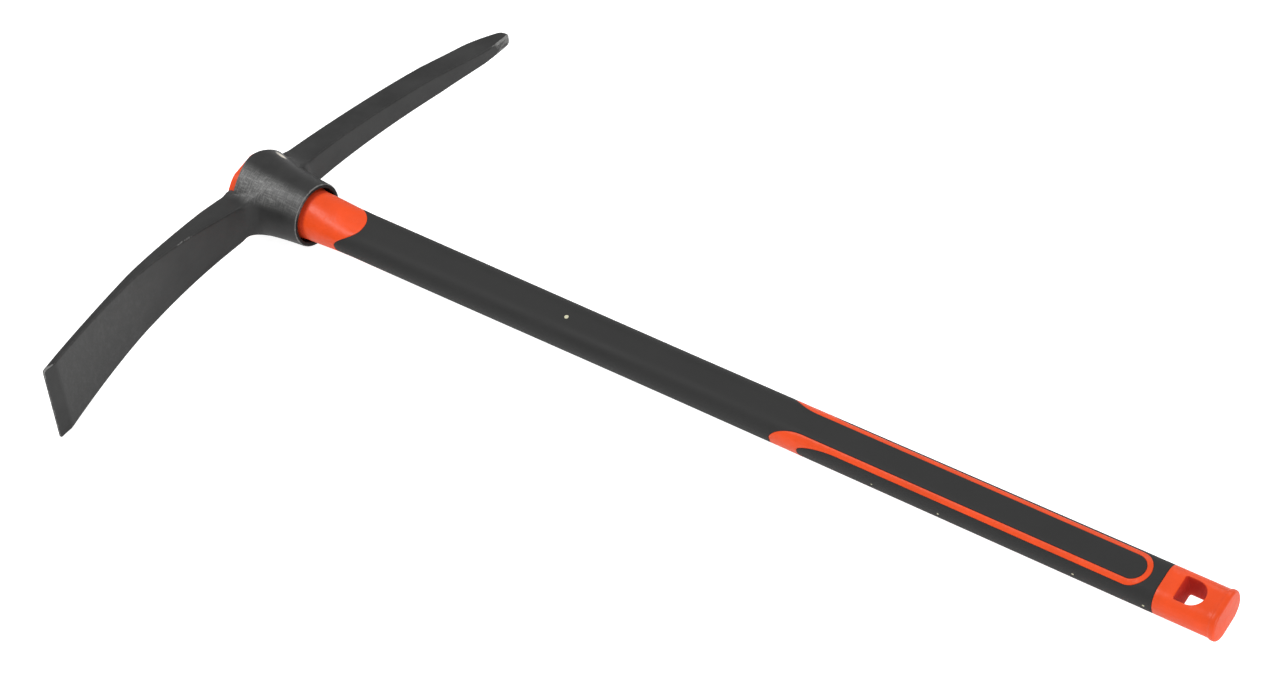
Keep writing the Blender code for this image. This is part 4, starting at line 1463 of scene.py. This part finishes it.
def make_collar(handle):
    """Round head end in the eye, blending to the oblong shaft where the sleeve starts."""
    head = bpy.context.scene.pickaxe_head
    around = all_round(8 * COLUMNS)
    edge_ys = [sleeve_head_edge_y(handle, turns) + handle.seam for turns in around]
    rows = []
    for share in spaced(0.0, 1.0, COLLAR_ROWS):
        rows.append([
            handle_point(handle, turns, mix(edge_y, mouth_y(), share))
            for turns, edge_y in zip(around, edge_ys)])
    end_radius = head.eye_top_radius - head.eye_wall - END_GAP
    profile = [
        (mix(mouth_radius(handle), end_radius, share), mix(mouth_y(), head.eye_top_y, share))
        for share in spaced(0.0, 1.0, END_ROWS)[1:]]
    profile += [(end_radius - inset, handle.length - along) for along, inset in rounded_edge(END_ROUND)]
    profile += [((end_radius - END_ROUND) * share, handle.length) for share in END_FACE_RINGS]
    for radius, y in profile:
        flat = END_FLAT * rising(y, mouth_y(), head.eye_length)
        rows.append([end_point(radius, y, flat, turns) for turns in around])
    piece = skin("flared_collar", handle, [rows], handle.sleeve_thickness)
    # Painted shade: a deeper red ring where the eye's mouth shades the collar
    value_attribute(piece.data, "painted_shade", [
        RING_PAINTED_SHADE * near(vertex.co.y - mouth_y(), RING_REACH, RING_CORE)
        for vertex in piece.data.vertices])
    return piece


def seated(handle, piece):
    """Turn a finished handle piece to the way the handle sits in the eye."""
    piece.data.transform(Matrix.Rotation(-handle.turn_in_eye, 4, "Y"))
    return piece


def make_shank(handle):
    """The plain orange shank that the sleeves are moulded on."""
    places = even_rows(cap_end_y(), mouth_y() - handle.collar_length / 2)
    rings = handle_rings(handle, [(y, handle.sleeve_thickness) for y in places], 4 * COLUMNS)
    piece = add_object("orange_shank", mesh_from_rings("orange_shank", rings))
    shade(piece, SKIN_SHARP_DEGREES)
    return piece


def make_cap_body(handle, cap):
    """Cap with a small lip and a flat end, before its hole is cut."""
    profile = [(along, inset - cap.lip_proud) for along, inset in reversed(rounded_edge(cap.end_round))]
    profile += [
        (cap.lip_length + share * cap.lip_flare, -cap.lip_proud * (1.0 - smooth(share)))
        for share in spaced(0.0, 1.0, LIP_ROWS)]
    side_end = cap.length - CAP_HEAD_EDGE[0][0]
    profile += [(y, 0.0) for y in spaced(cap.lip_length + cap.lip_flare, side_end, CAP_ROWS)[1:-1]]
    profile += [(cap.length - along, inset) for along, inset in CAP_HEAD_EDGE]
    return mesh_from_rings("cap form", handle_rings(handle, profile, 8 * COLUMNS))


def hole_outline(cap, spread):
    """Plan of the hanging hole: flat toward the head and round toward the butt."""
    half = cap.hole_width / 2 + spread
    flat_y = cap.hole_flat_y + spread
    centre_y = cap.hole_flat_y - cap.hole_length + cap.hole_width / 2
    corner = cap.hole_corner + spread
    points = []
    for side, first in ((1, 0), (-1, 90)):
        for degrees in spaced(first, first + 90, HOLE_CORNER_STEPS):
            x, y = on_circle(corner, degrees)
            points.append((side * (half - corner) + x, flat_y - corner + y))
    for degrees in spaced(180, 360, HOLE_ARC_STEPS):
        x, y = on_circle(half, degrees)
        points.append((x, centre_y + y))
    return points


def hole_depth(handle, cap, point):
    """0 on the cap's outside, rising to 1 a little way into its hole."""
    half = cap.hole_width / 2 + cap.hole_edge_round
    from_butt = point.y - cap.hole_flat_y + cap.hole_length + cap.hole_edge_round
    along = cap.hole_length + 2 * cap.hole_edge_round
    if abs(point.x) > half or not 0.0 <= from_butt <= along:
        return 0.0
    surface = face_point(handle, point.x, point.y).z
    return clamped((surface - abs(point.z)) / cap.hole_edge_round)


def make_cap(handle, cap):
    """Cut the hanging hole through the cap, and paint shade on its walls."""
    piece = add_object("cap_moulding", make_cap_body(handle, cap))
    half = handle.thickness / 2
    edge = cap.hole_edge_round
    levels = [
        (half + HOLE_CUT_MARGIN, edge + HOLE_CUT_MARGIN),
        (half + HOLE_FACE_MARGIN, edge + HOLE_FACE_MARGIN)]
    levels += [(half - along, inset) for inset, along in rounded_edge(edge)[1:]]
    levels.append((half - HOLE_WALL_DEPTH, 0.0))
    rings = []
    for z, spread in levels + [(-z, spread) for z, spread in reversed(levels)]:
        rings.append([Vector((x, y, z)) for x, y in hole_outline(cap, spread)])
    hole = add_object("hole form", mesh_from_rings("hole form", rings))
    boolean(piece, "DIFFERENCE", hole)
    applied(piece)
    discard(hole)
    shade(piece, CAP_SHARP_DEGREES)
    # Painted shade on the walls of the hanging hole
    value_attribute(piece.data, "painted_shade", [
        hole_depth(handle, cap, vertex.co) for vertex in piece.data.vertices])
    return piece


def make_pin_marks(handle):
    """Small pale discs where pins held the core in the mould."""
    lengthways = Vector((0.0, 1.0, 0.0))
    discs = []
    for turn, y, size in PIN_MARKS:
        centre = handle_point(handle, turn, y)
        across = handle_point(handle, turn + PIN_TURN, y) - handle_point(handle, turn - PIN_TURN, y)
        across.normalize()
        outward = across.cross(lengthways)
        if outward.dot(Vector((centre.x, 0.0, centre.z))) < 0:
            outward.negate()
        rings = []
        for share, height in PIN_PROFILE:
            rings.append([
                centre + height * outward
                + share * size * (math.cos(angle) * across + math.sin(angle) * lengthways)
                for angle in spaced(0.0, 2 * math.pi, PIN_SIDES)[:-1]])
        discs.append(mesh_from_rings("pin mark form", rings))
    piece = add_object("pin_marks", joined_mesh("pin_marks", discs))
    piece.data.shade_smooth()
    return piece


# Stage

# The floor glows this much in the picture, and gives this much light back to the pickaxe
FLOOR_GLOW = 0.86
FLOOR_BOUNCE = 0.40

# Half the floor's side, light from all round, and the place that the lamps point at
FLOOR_HALF = 6.0
WORLD_LIGHT = 0.52
STAGE_MIDDLE = (0.0, 0.45, 0.0)

# Camera: its sensor in mm, its place, and the directions right and up in its picture
SENSOR_WIDTH = 36.0
CAMERA_PLACE = Vector((-1.38905, -0.66603, 1.63880))
CAMERA_RIGHT = Vector((0.59085, -0.80347, -0.07304))
CAMERA_UP = Vector((0.57018, 0.35181, 0.74237))


def make_floor(stage):
    """Pale floor under the pickaxe, bright enough to be seen without shadows."""
    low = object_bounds()[0][2]
    half = FLOOR_HALF
    corners = [(-half, -half, low), (half, -half, low), (half, half, low), (-half, half, low)]
    mesh = bpy.data.meshes.new("floor")
    mesh.from_pydata(corners, [], [(0, 1, 2, 3)])
    floor = add_object("floor", mesh)
    material, tree, shader, place = new_material("pale floor")
    mottle = add_group(tree, "Mottle", mottle_group, place, Cloud_Scale=1.5, Grain_Scale=300.0)
    colour = clouded(tree, mottle, stage.floor_colour, darkest=0.99, lightest=1.0)
    join(tree, colour, shader.inputs["Base Color"])
    join(tree, ranged(tree, mottle.outputs["Grain"], low=0.75, high=0.85), shader.inputs["Roughness"])
    seen = put(tree, "ShaderNodeLightPath")
    share = FLOOR_BOUNCE / FLOOR_GLOW
    glow = mixed_colour(tree, seen.outputs["Is Camera Ray"], (share, share, share), (1.0, 1.0, 1.0))
    join(tree, glow, shader.inputs["Emission Color"])
    shader.inputs["Emission Strength"].default_value = FLOOR_GLOW * stage.light
    mesh.materials.append(material)
    floor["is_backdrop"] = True


def add_light(name, place, size, power):
    """Round soft light aimed at the middle of the stage."""
    lamp = bpy.data.lights.new(name, "AREA")
    lamp.shape = "DISK"
    lamp.size = size
    lamp.energy = power
    light = bpy.data.objects.new(name, lamp)
    light.location = place
    aim = Vector(STAGE_MIDDLE) - Vector(place)
    light.rotation_euler = aim.to_track_quat("-Z", "Y").to_euler()
    bpy.context.scene.collection.objects.link(light)


def make_lights(stage):
    """Key light from above the head, front light from the butt, a small rim light, and the world."""
    add_light("key", place=(-0.9, 1.9, 2.4), size=1.0, power=36 * stage.light)
    add_light("front", place=(-1.0, -2.4, 1.1), size=1.8, power=29 * stage.light)
    add_light("rim", place=(1.6, 0.3, 1.5), size=0.7, power=8 * stage.light)
    world = bpy.data.worlds.new("studio")
    world.use_nodes = True
    background = world.node_tree.nodes["Background"]
    background.inputs["Color"].default_value = (1.0, 1.0, 1.0, 1.0)
    background.inputs["Strength"].default_value = WORLD_LIGHT * stage.light
    bpy.context.scene.world = world
    bpy.context.scene.view_settings.view_transform = "Standard"


def make_camera(stage):
    """Camera above the butt on the mattock's side, level with the picture's long edge."""
    lens = bpy.data.cameras.new("camera")
    lens.sensor_fit = "HORIZONTAL"
    lens.sensor_width = SENSOR_WIDTH
    lens.lens = stage.focal_length
    camera = bpy.data.objects.new("camera", lens)
    right = CAMERA_RIGHT.normalized()
    up = (CAMERA_UP - CAMERA_UP.dot(right) * right).normalized()
    turn = Matrix((right, up, right.cross(up))).transposed().to_4x4()
    camera.matrix_world = Matrix.Translation(CAMERA_PLACE) @ turn
    bpy.context.scene.collection.objects.link(camera)
    bpy.context.scene.camera = camera


# Operators

class PICKAXE_OT_head(bpy.types.Operator):
    """Build the forged head with its two arms"""

    bl_idname = "pickaxe.head"
    bl_label = "Forged head"

    def execute(self, context):
        settings = context.scene.pickaxe_head
        steel = fetched("lacquered steel", lacquered_steel, settings)
        finish_piece(make_head(settings), "head", "black_steel", steel, "forged_head")
        return {"FINISHED"}


class PICKAXE_OT_core(bpy.types.Operator):
    """Give the hidden core its fibreglass"""

    bl_idname = "pickaxe.core"
    bl_label = "Fibreglass core"

    def execute(self, context):
        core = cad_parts["fibreglass_core"]
        core.data.materials.clear()
        core.data.materials.append(fetched("fibreglass", drawn_fibreglass))
        return {"FINISHED"}


class PICKAXE_OT_jacket(bpy.types.Operator):
    """Build the orange jacket: flared collar, shank, leaves and looped stripes"""

    bl_idname = "pickaxe.jacket"
    bl_label = "Orange jacket"

    def execute(self, context):
        settings = context.scene.pickaxe_handle
        orange = fetched("orange plastic", orange_plastic, settings)
        for piece in (make_collar(settings), make_shank(settings), make_bands(settings)):
            finish_piece(seated(settings, piece), "handle", "orange_plastic", orange, "handle_jacket")
        return {"FINISHED"}


class PICKAXE_OT_sleeves(bpy.types.Operator):
    """Build the soft black sleeves"""

    bl_idname = "pickaxe.sleeves"
    bl_label = "Soft sleeves"

    def execute(self, context):
        settings = context.scene.pickaxe_handle
        rubber = fetched("black rubber", soft_rubber, settings)
        sleeve = seated(settings, make_long_sleeve(settings))
        finish_piece(sleeve, "handle", "black_rubber", rubber, "shaft_sleeve")
        strips = seated(settings, make_side_grip(settings))
        finish_piece(strips, "handle", "black_rubber", rubber, "side_grip")
        marks = seated(settings, make_pin_marks(settings))
        finish_piece(marks, "handle", "fibreglass", fetched("fibreglass", drawn_fibreglass))
        return {"FINISHED"}


class PICKAXE_OT_cap(bpy.types.Operator):
    """Build the butt cap with its hanging hole"""

    bl_idname = "pickaxe.cap"
    bl_label = "Butt cap"

    def execute(self, context):
        settings = context.scene.pickaxe_handle
        orange = fetched("orange plastic", orange_plastic, settings)
        piece = seated(settings, make_cap(settings, context.scene.pickaxe_cap))
        finish_piece(piece, "handle", "orange_plastic", orange, "butt_cap")
        return {"FINISHED"}


class PICKAXE_OT_stage(bpy.types.Operator):
    """Set up the floor, the studio light and the camera"""

    bl_idname = "pickaxe.stage"
    bl_label = "Stage"

    def execute(self, context):
        settings = context.scene.pickaxe_stage
        make_floor(settings)
        make_lights(settings)
        make_camera(settings)
        return {"FINISHED"}


OPERATORS = (
    PICKAXE_OT_head, PICKAXE_OT_core, PICKAXE_OT_jacket,
    PICKAXE_OT_sleeves, PICKAXE_OT_cap, PICKAXE_OT_stage)


class PICKAXE_PT_panel(bpy.types.Panel):
    """Sizes and colours of the pickaxe, and a button for each of its pieces"""

    bl_idname = "PICKAXE_PT_panel"
    bl_label = "Pickaxe"
    bl_space_type = "VIEW_3D"
    bl_region_type = "UI"
    bl_category = "Pickaxe"

    def draw(self, context):
        scene = context.scene
        groups = (scene.pickaxe_head, scene.pickaxe_handle, scene.pickaxe_cap, scene.pickaxe_stage)
        for settings in groups:
            box = self.layout.box()
            for name in settings.__annotations__:
                box.prop(settings, name)
        for operator in OPERATORS:
            self.layout.operator(operator.bl_idname)


SETTINGS = {
    "pickaxe_head": HeadSettings,
    "pickaxe_handle": HandleSettings,
    "pickaxe_cap": CapSettings,
    "pickaxe_stage": StageSettings,
}


def register():
    for name, settings in SETTINGS.items():
        bpy.utils.register_class(settings)
        setattr(bpy.types.Scene, name, bpy.props.PointerProperty(type=settings))
    for operator in OPERATORS:
        bpy.utils.register_class(operator)
    bpy.utils.register_class(PICKAXE_PT_panel)


def unregister():
    bpy.utils.unregister_class(PICKAXE_PT_panel)
    for operator in reversed(OPERATORS):
        bpy.utils.unregister_class(operator)
    for name, settings in SETTINGS.items():
        delattr(bpy.types.Scene, name)
        bpy.utils.unregister_class(settings)


def main():
    register()
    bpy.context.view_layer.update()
    bpy.ops.pickaxe.stage()
    bpy.ops.pickaxe.core()
    bpy.ops.pickaxe.jacket()
    bpy.ops.pickaxe.sleeves()
    bpy.ops.pickaxe.cap()
    bpy.ops.pickaxe.head()


if __name__ == "__main__":
    main()
